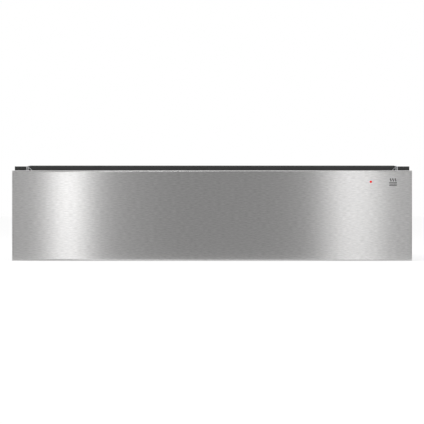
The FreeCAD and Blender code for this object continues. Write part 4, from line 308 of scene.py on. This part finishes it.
def moulded(name, colour, rough, grain=1900, depth=0.00005, shift=0.06):
    """Moulded plastic: a fine eroded grain and a slight cloudiness in its colour."""
    material, tree, shader = finish(name, colour, rough)
    where = on_object(tree)
    clouds = noise(tree, where, scale=30)
    shaded(tree, shader, colour, between(tree, clouds, low=1 - shift, high=1 + shift))
    pits = noise(tree, where, grain, detail=3, rough=0.65)
    tree.links.new(between(tree, pits, low=rough - 0.05, high=rough + 0.07),
                   shader.inputs["Roughness"])
    raised(tree, shader, pits, depth)
    return material


black_plastic = moulded("black_plastic", (0.026, 0.026, 0.028, 1), rough=0.55)
dress(black_plastic, "glide_feet", "front_liner", "terminal_cover", "cable_gland", "latch_housing",
      "lead_clips", "switch_body", "rocker_key", "thermostat_knob")

# ------------------------------------------------------------------ rivets and screws
# Domed steel rivets and cross-head screws, zinc plated, with the faint yellow of their passivation.
def plated(name, colour, rough, drawn=(1, 1, 1), marks=160, shift=0.07):
    """Plated steel: clouds in its tone, drawn out along the way that the steel was rolled."""
    material, tree, shader = finish(name, colour, rough, metal=1.0)
    clouds = noise(tree, on_object(tree, drawn), marks, detail=4, rough=0.6)
    shaded(tree, shader, colour, between(tree, clouds, low=1 - shift, high=1 + shift))
    tree.links.new(between(tree, clouds, low=rough - 0.06, high=rough + 0.08),
                   shader.inputs["Roughness"])
    return material


dress(plated("plated_fasteners", (0.60, 0.585, 0.54, 1), rough=0.34), "case_rivets", "case_screws",
      "drawer_screws")

# ------------------------------------------------------------------ runners
# Full-extension ball runners, roll formed and bright zinc plated, with marks of the forming rolls
# along them. The cages are thin strip and the balls hardened chrome steel.
runner_finish = plated("bright_zinc", (0.56, 0.57, 0.59, 1), rough=0.27,
                       drawn=(12, 0.25, 12), marks=130, shift=0.09)
ball_finish = plated("polished_steel", (0.70, 0.70, 0.71, 1), rough=0.14, marks=60, shift=0.03)
for side in ("left", "right"):
    dress(runner_finish, f"cabinet_runner_{side}", f"middle_runner_{side}", f"drawer_runner_{side}")
    dress(ball_finish, f"outer_ball_cage_{side}", f"inner_ball_cage_{side}")

# ------------------------------------------------------------------ terminals and supply lead
# A three-pole block under a moulded cover with a cable gland, and the flexible lead that loops
# behind the drawer. The block, the thermostat and the latch's plunger are pale plastic, and the
# lead has a grey-black sheath.
pale_plastic = moulded("pale_plastic", (0.70, 0.68, 0.62, 1), rough=0.5,
                       grain=1500, depth=0.00004, shift=0.04)
sheath_colour = (0.045, 0.045, 0.048, 1)
sheath, tree, shader = finish("lead_sheath", sheath_colour, rough=0.58)
where = on_object(tree)
shaded(tree, shader, sheath_colour, between(tree, noise(tree, where, scale=60), low=0.85, high=1.2))
drawn_marks = noise(tree, on_object(tree, scale=(0.1, 0.1, 1)), scale=1500, detail=2)
raised(tree, shader, drawn_marks, depth=0.00004)
dress(pale_plastic, "terminal_block", "thermostat_body", "latch_plunger")
dress(sheath, "wiring_loom")
weld = 0.000005


def put_together(name, mesh, material, sharp=35):
    """Welds a mesh's seams, marks its sharp edges, and makes it a piece with its finish."""
    made = bmesh.new()
    made.from_mesh(mesh)
    bmesh.ops.remove_doubles(made, verts=made.verts, dist=weld)
    bmesh.ops.dissolve_degenerate(made, edges=made.edges, dist=weld / 5)
    bmesh.ops.recalc_face_normals(made, faces=made.faces)
    made.to_mesh(mesh)
    made.free()
    mesh.polygons.foreach_set("use_smooth", np.full(len(mesh.polygons), True))
    mesh.set_sharp_from_angle(angle=math.radians(sharp))
    mesh.materials.clear()
    mesh.materials.append(material)
    thing = bpy.data.objects.new(name, mesh)
    bpy.context.scene.collection.objects.link(thing)
    return thing


# the lead's clipped run on the case's back panel and its run behind the drawer stay one welded
# piece
lead_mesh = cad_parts["supply_lead"].data.copy()
lead = put_together("flexible_lead", lead_mesh, sheath)
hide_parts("supply_lead")
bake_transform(lead)

# ------------------------------------------------------------------ push latch
# A plunger sprung by a coil of polished wire, in a plastic housing on the back panel. The coil is
# wound with its end turns closed.
dress(ball_finish, "thermostat_spindle")


def grid_faces(shape, start=0):
    """Faces between the neighbours of a grid: (i, j), (i + 1, j), (i + 1, j + 1), (i, j + 1)."""
    rows, columns = shape.shape[:2]
    index = start + np.arange(rows * columns).reshape(rows, columns)
    ring = (index[:-1, :-1], index[1:, :-1], index[1:, 1:], index[:-1, 1:])
    return np.stack(ring, axis=-1).reshape(-1, 4)


def mesh_piece(name, grids, body, material, sharp=35):
    """One piece from grids of points in metres, welded where they meet. A grid may come with flat
    places for the UV map "sheet", as a pair."""
    points, faces, flats = [], [], []
    start = 0
    for grid in grids:
        shape, flat = grid if isinstance(grid, tuple) else (grid, None)
        faces.append(grid_faces(shape, start))
        points.append(shape.reshape(-1, 3))
        flats.append(shape.reshape(-1, 3)[:, :2] if flat is None else flat.reshape(-1, 2))
        start += len(points[-1])
    points, faces, flats = np.vstack(points), np.vstack(faces), np.vstack(flats)
    mesh = bpy.data.meshes.new(name)
    mesh.from_pydata(points, [], faces)
    sheet = mesh.uv_layers.new(name="sheet")
    sheet.data.foreach_set("uv", flats[faces.ravel()].astype(np.float32).ravel())
    thing = put_together(name, mesh, material, sharp)
    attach(thing, body)
    return thing


spring_low, spring_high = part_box("latch_spring")
spring_wire = 0.0004        # the wire's radius
spring_turns = 8
steps_in_turn = 40
spring_radius = (spring_high.x - spring_low.x) / 2 - spring_wire
spring_z = (spring_low.z + spring_high.z) / 2
spring_from, spring_to = spring_low.y + spring_wire, spring_high.y - spring_wire
turns_along = np.linspace(0, spring_turns, spring_turns * steps_in_turn + 1)[:, None]
coil_turn = 2 * math.pi * turns_along
wire_round = np.linspace(0, 2 * math.pi, 13)
# a point round the wire lies out from the coil's axis by cos and along it by sin of its own angle,
# and the coil's first and last turns rise by only the wire's thickness
out = spring_radius + spring_wire * np.cos(wire_round)
closed = 2 * spring_wire
coil_y = np.interp(turns_along, [0, 1, spring_turns - 1, spring_turns],
                   [spring_from, spring_from + closed, spring_to - closed, spring_to])
coil = np.stack([out * np.cos(coil_turn), coil_y + spring_wire * np.sin(wire_round),
                 spring_z + out * np.sin(coil_turn)], axis=-1)
coil_ends = [np.stack([ring, 0 * ring + ring[:-1].mean(axis=0)]) for ring in (coil[0], coil[-1])]
spring = mesh_piece("coil_spring", [coil] + coil_ends, "case", ball_finish, sharp=60)
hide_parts("latch_spring")
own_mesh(spring)

# ------------------------------------------------------------------ insulation pad
# A needled glass-fibre pad that lies loose on the chassis floor under the heater. It is cut with a
# knife, so its edges are square but soft, and it swells a little between the heater's clips.
pad_low, pad_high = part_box("insulation_pad")
pad_edge = 0.004            # how far in the soft edge reaches
pad_swell = 0.0012
pad_under_edge = 0.0008     # how far the lower edge lifts off the floor
pad_wall = 0.35             # the straight part of the edge, as a share of the height
waves_across, waves_along = 3, 1.5
across = np.linspace(-1, 1, 121)
along = np.linspace(-1, 1, 91)
u, v = np.meshgrid(across, along, indexing="ij")
pad_middle, pad_half = (pad_low + pad_high) / 2, (pad_high - pad_low) / 2
# the top falls by a quarter circle over the edge's width, and waves by cos between the clips
from_edge = np.minimum((1 - np.abs(u)) * pad_half.x, (1 - np.abs(v)) * pad_half.y)
shoulder = np.clip(from_edge / pad_edge, 0, 1)
lift = np.sqrt(1 - (1 - shoulder) ** 2)
wave = (0.5 + 0.5 * np.cos(2 * math.pi * waves_across * u)
        * np.cos(2 * math.pi * waves_along * v))
top_z = (pad_low.z + (2 * pad_half.z - pad_swell) * (pad_wall + (1 - pad_wall) * lift)
         + pad_swell * wave * lift)
low_z = pad_low.z + pad_under_edge * (1 - shoulder)
pad_x, pad_y = pad_middle.x + u * pad_half.x, pad_middle.y + v * pad_half.y
pad_top = np.stack([pad_x, pad_y, top_z], axis=-1)
pad_under = np.stack([pad_x, pad_y, low_z], axis=-1)


def side_walls(top, under):
    """Four strips that join the edges of two grids, each from a top edge to the one under it."""
    edges = [(grid[0], grid[-1], grid[:, 0], grid[:, -1]) for grid in (top, under)]
    return [np.stack(pair) for pair in zip(*edges)]


fibre_colour = (0.74, 0.73, 0.68, 1)
fibre, tree, shader = finish("glass_fibre", fibre_colour, rough=0.95)
lines = noise(tree, on_object(tree, scale=(1, 9, 4)), scale=260, detail=5, rough=0.7)
more_lines = noise(tree, on_object(tree, scale=(8, 1, 4)), scale=240, detail=5, rough=0.7)
fibres = wired(tree, "ShaderNodeMath", {0: lines, 1: more_lines}, operation="MAXIMUM").outputs[0]
shaded(tree, shader, fibre_colour, between(tree, fibres, low=0.82, high=1.1, start=0.4, end=0.75))
raised(tree, shader, fibres, depth=0.0006)
shader.inputs["Sheen Weight"].default_value = 0.3
pad_grids = [pad_top, pad_under] + side_walls(pad_top, pad_under)
pad = mesh_piece("fibre_pad", pad_grids, "drawer", fibre)
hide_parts("insulation_pad")

# ------------------------------------------------------------------ heating elements
# Tubular elements, a steel sheath round a resistance wire. The sheath was annealed, so it is dark
# and shows brown and blue heat tints. One snakes under the tray, the other rings the fan wheel.
tint_dark = (0.20, 0.195, 0.19, 1)
tint_brown = (0.30, 0.22, 0.15, 1)
tint_blue = (0.19, 0.21, 0.26, 1)
element, tree, shader = finish("heater_sheath", tint_dark, rough=0.42, metal=1.0)
tint = noise(tree, on_object(tree), scale=38, detail=2)
from_blue = wired(tree, "ShaderNodeMix", {
    "Factor": between(tree, tint, low=0, high=1, start=0.35, end=0.5),
    "A": tint_blue, "B": tint_dark}, data_type="RGBA")
to_brown = wired(tree, "ShaderNodeMix", {
    "Factor": between(tree, tint, low=0, high=1, start=0.52, end=0.68),
    "A": from_blue.outputs["Result"], "B": tint_brown}, data_type="RGBA")
tree.links.new(to_brown.outputs["Result"], shader.inputs["Base Color"])
oxide = noise(tree, on_object(tree), scale=420)
tree.links.new(between(tree, oxide, low=0.34, high=0.52), shader.inputs["Roughness"])
dress(element, "floor_heater", "ring_heater")

# ------------------------------------------------------------------ tray
# Deep-drawn stainless steel, satin brushed before it was pressed, so that fine lines run along the
# floor and the walls. The perforated fan cover is from the same sheet.
satin_colour = (0.55, 0.545, 0.54, 1)
satin, tree, shader = finish("satin_stainless", satin_colour, rough=0.30, metal=1.0)
satin_marks = noise(tree, on_object(tree, scale=(0.03, 1, 1)), scale=1500, detail=3, rough=0.6)
satin_cloud = noise(tree, on_object(tree), scale=9)
satin_share = wired(tree, "ShaderNodeMath", {
    0: between(tree, satin_marks, low=0.95, high=1.05),
    1: between(tree, satin_cloud, low=0.97, high=1.03)}, operation="MULTIPLY")
shaded(tree, shader, satin_colour, satin_share.outputs[0])
tree.links.new(between(tree, satin_marks, low=0.25, high=0.38), shader.inputs["Roughness"])
raised(tree, shader, satin_marks, depth=0.000012)
dress(satin, "tray", "fan_cover")

# ------------------------------------------------------------------ anti-slip mat
# A black rubber mat that lies on the tray's floor. Its top is moulded in low round ribs, which run
# across the tray inside a flat border with rounded corners.
mat_low, mat_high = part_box("anti_slip_mat")
mat_corner = 0.014
mat_border = 0.008
mat_edge = 0.0006           # rounding of the top edge
rib_pitch = 0.006
rib_drop = 0.0005
rib_fade = 0.002
steps_in_rib = 8
mat_middle, mat_half = (mat_low + mat_high) / 2, (mat_high - mat_low) / 2


def inside_distance(x, y, half_x, half_y, corner):
    """How far inside a rounded rectangle a place is: the corner's radius less its distance from
    the smaller rectangle that joins the corners' centres."""
    out_x, out_y = np.abs(x) - (half_x - corner), np.abs(y) - (half_y - corner)
    beyond = np.hypot(np.maximum(out_x, 0), np.maximum(out_y, 0))
    return corner - beyond - np.minimum(np.maximum(out_x, out_y), 0)


rib_count = int(2 * (mat_half.y - mat_border) / rib_pitch)
rib_from = rib_count * rib_pitch / 2
corner_turn = np.linspace(0, math.pi / 2, 15)
end_rows = mat_half.y - mat_corner + mat_corner * np.sin(corner_turn)
edge_steps = np.array([0, 0.15, 0.4, 1.0]) * mat_edge
mat_rows = np.unique(np.round(np.concatenate([
    end_rows, -end_rows, mat_half.y - edge_steps, edge_steps - mat_half.y,
    np.linspace(-rib_from, rib_from, rib_count * steps_in_rib + 1)]), 6))
past_corner = np.maximum(np.abs(mat_rows) - (mat_half.y - mat_corner), 0)
row_reach = mat_half.x - mat_corner + np.sqrt(np.maximum(mat_corner ** 2 - past_corner ** 2, 0))
from_side = np.concatenate([edge_steps, [mat_border, mat_border * 1.25, mat_border * 2.5]])
mat_x = np.concatenate([from_side - row_reach[:, None], np.zeros((len(mat_rows), 1)),
                        row_reach[:, None] - from_side[::-1]], axis=1)
mat_y = mat_rows[:, None] + 0 * mat_x
inside = inside_distance(mat_x, mat_y, mat_half.x, mat_half.y, mat_corner)
# a rib is a wave of its pitch, which fades out beside the border, and the edge a quarter circle
ribbed = np.abs(mat_y) <= rib_from + weld
fade = np.clip((inside - mat_border) / rib_fade, 0, 1) * ribbed
drop = rib_drop * (0.5 - 0.5 * np.cos(2 * math.pi * (mat_y + rib_from) / rib_pitch)) * fade
rounding = mat_edge * (1 - np.sqrt(1 - (1 - np.clip(inside / mat_edge, 0, 1)) ** 2))
mat_x, mat_y = mat_middle.x + mat_x, mat_middle.y + mat_y
mat_top = np.stack([mat_x, mat_y, mat_high.z - drop - rounding], axis=-1)
mat_under = np.stack([mat_x, mat_y, mat_low.z + 0 * mat_x], axis=-1)
mat_grids = [mat_top, mat_under] + side_walls(mat_top, mat_under)
mat = mesh_piece("ribbed_mat", mat_grids, "drawer", rubber)
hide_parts("anti_slip_mat")

# ------------------------------------------------------------------ fan
# A shaded-pole motor on the back of the fan box turns a stamped aluminium wheel. Its core is
# stacked from thin sheets and its coil is wound from enamelled copper wire.
dress(plated("stamped_aluminium", (0.72, 0.73, 0.74, 1), rough=0.36,
             drawn=(1, 0.2, 1), marks=240, shift=0.05), "impeller")


def striped(name, colour, rough, along, pitch, shift, depth):
    """Parallel ridges across one axis, one for each pitch, as of stacked sheets or wound wire."""
    material, tree, shader = finish(name, colour, rough, metal=1.0)
    pitch_at_scale_1 = 2 * math.pi / 20
    ridge = wired(tree, "ShaderNodeTexWave", {
        "Vector": on_object(tree), "Scale": pitch_at_scale_1 / pitch}, bands_direction=along)
    shaded(tree, shader, colour, between(tree, ridge.outputs["Fac"], low=1 - shift,
                                         high=1 + shift, start=0, end=1))
    raised(tree, shader, ridge.outputs["Fac"], depth)
    return material


dress(striped("laminations", (0.21, 0.21, 0.22, 1), rough=0.5,
              along="Y", pitch=0.0007, shift=0.25, depth=0.0001), "motor_core", "motor_rotor")
dress(striped("enamelled_copper", (0.50, 0.20, 0.075, 1), rough=0.3,
              along="X", pitch=0.0006, shift=0.2, depth=0.0002), "motor_coil")

# ------------------------------------------------------------------ controls
# A moulded pocket in the tray's rim holds a setting knob, with moulded grips and a white pointer,
# and a rocker switch. The marks are printed in white: a rising scale, a line and a ring.
dress(moulded("grey_plastic", (0.135, 0.135, 0.14, 1), rough=0.55), "control_housing")
knob_low, knob_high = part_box("thermostat_knob")
knob_middle = (knob_low + knob_high) / 2
knob_radius = (knob_high.x - knob_low.x) / 2
knob_height = knob_high.z - knob_low.z
knob_grips = 24
steps_in_grip = 12
grip_depth = 0.0006
grip_power = 1.5            # over 1, a groove is narrower than a grip
# each level's height and radius, as shares of the knob's, and its share g of the grooves: at angle
# t the radius is less by g grip_depth ((1 + cos(24 t)) / 2) ** grip_power
knob_levels = np.array([
    [0.0, 0.0, 0], [0.0, 0.97, 0], [0.02, 1.0, 0], [0.15, 1.0, 0], [0.19, 0.985, 0.2],
    [0.24, 0.975, 1], [0.55, 0.955, 1], [0.84, 0.935, 1], [0.90, 0.925, 0.6], [0.95, 0.90, 0.2],
    [0.985, 0.865, 0], [1.0, 0.81, 0], [0.995, 0.76, 0], [0.97, 0.70, 0], [0.955, 0.55, 0],
    [0.95, 0.25, 0], [0.95, 0.0, 0]])
knob_angle = np.linspace(0, 2 * math.pi, knob_grips * steps_in_grip + 1)
groove = (0.5 + 0.5 * np.cos(knob_grips * knob_angle)) ** grip_power
knob_reach = knob_radius * knob_levels[:, 1:2] - grip_depth * knob_levels[:, 2:3] * groove
knob_grid = np.stack([knob_middle.x + knob_reach * np.cos(knob_angle),
                      knob_middle.y + knob_reach * np.sin(knob_angle),
                      knob_low.z + knob_height * knob_levels[:, 0:1] + 0 * knob_angle], axis=-1)
knob = mesh_piece("setting_knob", [knob_grid], "knob", black_plastic, sharp=28)
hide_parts("thermostat_knob")


def printed_line(path, width, place, across, up, rise, root=0.0):
    """A flat line along a path of flat places, as one closed strip of a small thickness.
    Half the width lies to each side of the path's own direction. A flat place (a, b) lies at
    place + a across + b up, and the strip stands from root to rise along across x up."""
    path, across, up = np.asarray(path, float), np.asarray(across, float), np.asarray(up, float)
    looped = np.allclose(path[0], path[-1])
    way = np.gradient(path, axis=0)
    if looped:
        way[[0, -1]] = path[1] - path[-2]
    way /= np.hypot(way[:, 0], way[:, 1])[:, None]
    side = np.stack([-way[:, 1], way[:, 0]], axis=-1) * np.asarray(width).reshape(-1, 1) / 2
    corners = [(path - side, root), (path + side, root), (path + side, rise), (path - side, rise),
               (path - side, root)]
    strip = np.stack([np.asarray(place) + flat[:, :1] * across + flat[:, 1:] * up
                      + height * np.cross(across, up) for flat, height in corners], axis=1)
    caps = [np.stack([strip[end, [0, 3]], strip[end, [1, 2]]]) for end in (0, -1)]
    return [strip] if looped else [strip] + caps


def printed(name, colour):
    """Screen-printed ink: a matt colour, a little uneven as the mesh left it."""
    material, tree, shader = finish(name, colour, rough=0.6)
    ink = noise(tree, on_object(tree), scale=1200)
    shaded(tree, shader, colour, between(tree, ink, low=0.93, high=1.04))
    return material


white_print = printed("white_print", tone(225, 226, 222))
print_thick = 0.00003
fine_line = 0.0004
flat_x, flat_y, flat_z = np.eye(3)

# the pointer is a bar let into the hollow top
pointer_start, pointer_end = 0.22 * knob_radius, 0.52 * knob_radius
pointer_width = 0.0012
pointer_rise, pointer_root = 0.00015, -0.0002
hollow_share = 0.952        # the hollow top's height, as a share of the knob's
hollow_top = (knob_middle.x, knob_middle.y, knob_low.z + hollow_share * knob_height)
pointer = printed_line([(0, -pointer_start), (0, -pointer_end)], pointer_width, hollow_top,
                       flat_x, flat_y, pointer_rise, pointer_root)
mesh_piece("knob_pointer", pointer, "knob", white_print)

# round the knob's back a line that narrows stands for the warmth, and in front a ring for off
knob_clearance = 0.0003
scale_points = 41
scale_turn = np.radians(np.linspace(40, 140, scale_points))
scale_radius = knob_radius * 1.22
scale_path = scale_radius * np.stack([np.cos(scale_turn), np.sin(scale_turn)], axis=-1)
warm_line = 0.0014
off_radius = 0.0009
off_place = [0, -scale_radius * 1.04]
small_turn = np.linspace(0, 2 * math.pi, 33)
small_ring = np.stack([np.cos(small_turn), np.sin(small_turn)], axis=-1)
knob_foot = (knob_middle.x, knob_middle.y, knob_low.z - knob_clearance)
scale_marks = printed_line(scale_path, np.linspace(warm_line, fine_line, scale_points),
                           knob_foot, flat_x, flat_y, print_thick)
scale_marks += printed_line(off_place + off_radius * small_ring, fine_line,
                            knob_foot, flat_x, flat_y, print_thick)
mesh_piece("scale_marks", scale_marks, "drawer", white_print)

# the rocker's front half lies level at rest, and its back half slopes up from the valley between
key_low, key_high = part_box("rocker_key")
key_x = (key_low.x + key_high.x) / 2
key_tilt = math.radians(14)
key_slope = np.array([0, math.cos(key_tilt), math.sin(key_tilt)])
mark_from_end = 0.0037
level_height = 0.00762      # the level half's top, over the key's lowest point
slope_drop = 0.00078        # the sloping half's top at the ring, under the key's highest point
on_half_length = 0.0014
on_line = 0.0005
off_ring = 0.0013
on_place = (key_x, key_low.y + mark_from_end, key_low.z + level_height)
ring_place = np.array([key_x, key_high.y - mark_from_end, key_high.z - slope_drop])
switch_marks = printed_line([(0, -on_half_length), (0, on_half_length)], on_line,
                            on_place, flat_x, flat_y, print_thick)
switch_marks += printed_line(off_ring * small_ring, fine_line,
                             ring_place, flat_x, key_slope, print_thick)
mesh_piece("switch_marks", switch_marks, "rocker", white_print)

# ------------------------------------------------------------------ lamp board
# A small printed board behind the front holds the red lamp. Its green solder mask shows the
# copper tracks beneath as slightly lighter lines.
board_colour = (0.018, 0.12, 0.045, 1)
board, tree, shader = finish("green_board", board_colour, rough=0.32)
tracks = wired(tree, "ShaderNodeTexBrick", {
    "Vector": on_object(tree), "Scale": 420.0, "Mortar Size": 0.03, "Color1": (1, 1, 1, 1),
    "Color2": (0.85, 0.85, 0.85, 1), "Mortar": (0, 0, 0, 1)})
shaded(tree, shader, board_colour,
       between(tree, tracks.outputs["Fac"], low=1.0, high=1.9, start=0, end=1))
dress(board, "lamp_board")

# ------------------------------------------------------------------ steel front
# One sheet of stainless steel, brushed along its width, folded back on its four edges. The top
# and bottom folds run the full width and the side folds stand between them, behind open seams.
half_x = front_high.x
half_z = (front_high.z - front_low.z) / 2
mid_z = (front_high.z + front_low.z) / 2
face_y = front_low.y + print_thick      # the printed sign stands level with the front's box
front_bend = 0.002
front_sheet = 0.001
straight_from = 0.0035      # from the face to where the open corner seams begin
seam = 0.0003
support = 0.0008            # flat strip beside each bend, which keeps the face's light flat
window = 0.006              # half of the square of metal round the lamp's hole
lamp_low, lamp_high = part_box("indicator_lens")
lamp_x, lamp_z = (lamp_low.x + lamp_high.x) / 2, (lamp_low.z + lamp_high.z) / 2
lamp_radius = 0.0016
lamp_clearance = 0.0001
lamp_hole = lamp_radius + lamp_clearance
hole_edge = 0.00015

# the window's points lie at the tangents of even angles, where a ring of even angles meets them
side_steps = window * np.tan(np.linspace(-math.pi / 4, math.pi / 4, 17))
face_x, face_z = half_x - front_bend - support, half_z - front_bend - support
columns = np.concatenate([[-face_x], lamp_x + side_steps, [face_x]])
rows = np.concatenate([[-face_z], lamp_z - mid_z + side_steps, [face_z]])
ring_angle = np.linspace(-math.pi / 4, 7 * math.pi / 4, 65)
ring = np.stack([np.cos(ring_angle), np.sin(ring_angle)], axis=-1)
square = ring / np.abs(ring).max(axis=1, keepdims=True)


def front_skin(inset):
    """The outer or inner skin of the folded sheet, inset by 0 or by the sheet's thickness.
    Each edge is a profile of inwards distance and depth, a quarter round and a straight return,
    carried along the edge's own line of columns or rows. The returns end at the corner seams."""
    bend = front_bend - inset
    turn = np.linspace(0, math.pi / 2, 9)
    depth = np.concatenate([[0], bend * (1 - np.cos(turn)), [straight_from - inset, 0]]) + inset
    depth[-1] = front_high.y - face_y
    inwards = np.concatenate([[bend + support], bend * (1 - np.sin(turn)), [0, 0]]) + inset
    run = np.concatenate([[0], np.cumsum(np.hypot(np.diff(inwards), np.diff(depth)))])
    edges = []
    for side in (-1, 1):
        for long_edge in (True, False):
            line = np.tile(columns if long_edge else rows, (len(depth), 1))
            reach = (half_x if long_edge else half_z) - inwards
            reach[-2:] = half_x if long_edge else half_z - front_sheet - seam
            line[:, 0], line[:, -1] = -reach, reach
            off = side * ((half_z if long_edge else half_x) - inwards)[:, None] + 0 * line
            far = side * ((face_z if long_edge else face_x) + run)[:, None] + 0 * line
            y = face_y + depth[:, None] + 0 * line
            x, z, flat = (line, off, [line, far]) if long_edge else (off, line, [far, line])
            edges.append((np.stack([x, y, mid_z + z], axis=-1), np.stack(flat, axis=-1)))
    x, z = np.meshgrid(columns, rows, indexing="ij")
    face = np.stack([x, face_y + inset + 0 * x, mid_z + z], axis=-1)
    flat = np.stack([x, z], axis=-1)
    plates = [(face[:2], flat[:2]), (face[-2:], flat[-2:]),
              (face[1:-1, :2], flat[1:-1, :2]), (face[1:-1, -2:], flat[1:-1, -2:])]
    return edges, plates


outer_edges, outer_plates = front_skin(inset=0)
inner_edges, inner_plates = front_skin(inset=front_sheet)
front_grids = outer_edges + outer_plates + inner_edges + inner_plates
for outer_edge, inner_edge in zip(outer_edges, inner_edges):
    # each edge's last line and both its ends show the sheet's thickness
    for cut in (np.s_[-1], np.s_[-3:, 0], np.s_[-3:, -1]):
        front_grids.append(tuple(np.stack([outer[cut], inner[cut]])
                                 for outer, inner in zip(outer_edge, inner_edge)))
hole_rings = [(square * window, 0), (ring * (lamp_hole + hole_edge), 0),
              (ring * lamp_hole, hole_edge), (ring * lamp_hole, front_sheet),
              (square * window, front_sheet)]
hole_patch = np.stack([np.stack([lamp_x + flat[:, 0], face_y + depth + 0 * ring_angle,
                                 lamp_z + flat[:, 1]], axis=-1) for flat, depth in hole_rings])
front_grids.append((hole_patch, hole_patch[..., [0, 2]] - [0, mid_z]))

# the brush marks are noise drawn out along the sheet's first coordinate, and the belt's coarser
# grit leaves shorter, broader marks among them
brush_marks = 2600          # marks per metre across the brushing
brush_length = 60           # how many times longer than broad a brush mark is
brush_shift = 0.04          # how far the marks lighten and darken the steel
brush_depth = 0.000005
grit_marks = 150            # marks per metre along the brushing
grit_breadth = 6            # how many times closer the grit's marks lie across it
grit_shift = 0.115
brush_spread = 0.98         # the highlight's spread across the brushing, 1 being all of it
quarter_turn = 0.25
steel_colour = (0.60, 0.594, 0.591, 1)
steel, tree, shader = finish("brushed_front", steel_colour, rough=0.28, metal=1.0)
sheet_place = wired(tree, "ShaderNodeUVMap", uv_map="sheet").outputs[0]
brush_way = wired(tree, "ShaderNodeMapping", {
    "Vector": sheet_place, "Scale": (brush_marks / brush_length, brush_marks, 1)}).outputs[0]
brush = noise(tree, brush_way, scale=1.0, detail=4, rough=0.6)
grit_way = wired(tree, "ShaderNodeMapping", {
    "Vector": sheet_place, "Scale": (grit_marks, grit_marks * grit_breadth, 1)}).outputs[0]
grit = noise(tree, grit_way, scale=1.0, detail=2, rough=0.5)
both_marks = wired(tree, "ShaderNodeMath", {
    0: between(tree, brush, low=1 - brush_shift, high=1 + brush_shift, start=0.25, end=0.75),
    1: between(tree, grit, low=1 - grit_shift, high=1 + grit_shift)}, operation="MULTIPLY")
shaded(tree, shader, steel_colour, both_marks.outputs[0])
raised(tree, shader, brush, brush_depth)
tangent = wired(tree, "ShaderNodeTangent", direction_type="UV_MAP", uv_map="sheet")
tree.links.new(tangent.outputs[0], shader.inputs["Tangent"])
shader.inputs["Anisotropic"].default_value = brush_spread
shader.inputs["Anisotropic Rotation"].default_value = quarter_turn
front = mesh_piece("steel_front", front_grids, "drawer", steel)
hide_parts("front_panel")

# ------------------------------------------------------------------ pictogram
# A small sign for a warming drawer, screen printed in dark grey at the front's top right: three
# stacked plates with three waves of warmth over them.
grey_print = printed("grey_print", tone(62, 60, 60))
sign_place = (0.2690, face_y, 0.1172)
plate_heights = (-0.0050, -0.0029, -0.0008)
plate_half, well_half = 0.0056, 0.0042      # half a plate's width at its rim and in its well
plate_rim = 0.0004
plate_line = 0.0011
wave_middles = (-0.0036, 0, 0.0036)
wave_foot, wave_top = 0.0012, 0.0056
wave_sway = 0.0006
wave_line = 0.0015
sign = []
for plate_z in plate_heights:
    rim_z = plate_z + plate_rim
    plate = [(-plate_half, rim_z), (-well_half, plate_z), (well_half, plate_z), (plate_half, rim_z)]
    sign += printed_line(plate, plate_line, sign_place, flat_x, flat_z, print_thick)
# a wave sways by one whole sine from its foot to its top
wave_up = np.linspace(wave_foot, wave_top, 25)
sway = wave_sway * np.sin((wave_up - wave_foot) / (wave_top - wave_foot) * 2 * math.pi)
for wave_x in wave_middles:
    sign += printed_line(np.stack([wave_x + sway, wave_up], axis=-1), wave_line, sign_place,
                         flat_x, flat_z, print_thick)
mesh_piece("warmth_sign", sign, "drawer", grey_print)

# ------------------------------------------------------------------ indicator lamp
# A red light guide the size of a match head, flush in its hole in the steel, lit from behind.
# Its head is a quarter of an ellipse turned about its axis, as high as the dome.
dome = 0.00035
polar = np.linspace(0, math.pi / 2, 9)
around = np.linspace(0, 2 * math.pi, 49)


def light_guide(reach, depth):
    """Rings about the lamp's axis, one for each reach r and depth d behind the face. At angle t
    the ring's point is (lamp_x + r cos t, face_y + d, lamp_z + r sin t)."""
    reach, depth = np.array(reach)[:, None], np.array(depth)[:, None]
    return np.stack([lamp_x + reach * np.cos(around), face_y + depth + 0 * around,
                     lamp_z + reach * np.sin(around)], axis=-1)


lens = light_guide(lamp_radius * np.sin(polar), dome - dome * np.cos(polar))
stem = light_guide([lamp_radius, lamp_radius], [dome, lamp_high.y - face_y])
shut = light_guide([lamp_radius, 0], [lamp_high.y - face_y] * 2)
red_colour = tone(205, 8, 2)
red, tree, shader = finish("lit_red", red_colour, rough=0.25)
off_centre = wired(tree, "ShaderNodeMapping", {
    "Vector": on_object(tree), "Location": (-lamp_x, 0, -lamp_z)})
flat_way = wired(tree, "ShaderNodeVectorMath", {
    0: off_centre.outputs[0], 1: (1, 0, 1)}, operation="MULTIPLY")
from_middle = wired(tree, "ShaderNodeVectorMath", {0: flat_way.outputs[0]}, operation="LENGTH")
rim_glow = 0.35             # the rim's glow, as a share of the middle's
glow = between(tree, from_middle.outputs["Value"], low=1.0, high=rim_glow, start=0, end=lamp_radius)
glow_colour = wired(tree, "ShaderNodeVectorMath", {0: (1.0, 0.012, 0.0), "Scale": glow},
                    operation="SCALE")
tree.links.new(glow_colour.outputs[0], shader.inputs["Emission Color"])
shader.inputs["Emission Strength"].default_value = 0.45
shader.inputs["Specular IOR Level"].default_value = 0.12
indicator = mesh_piece("indicator_light", [lens, stem, shut], "drawer", red)
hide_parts("indicator_lens")

# ------------------------------------------------------------------ view
# The view is plain.
bpy.context.scene.view_settings.view_transform = "Standard"
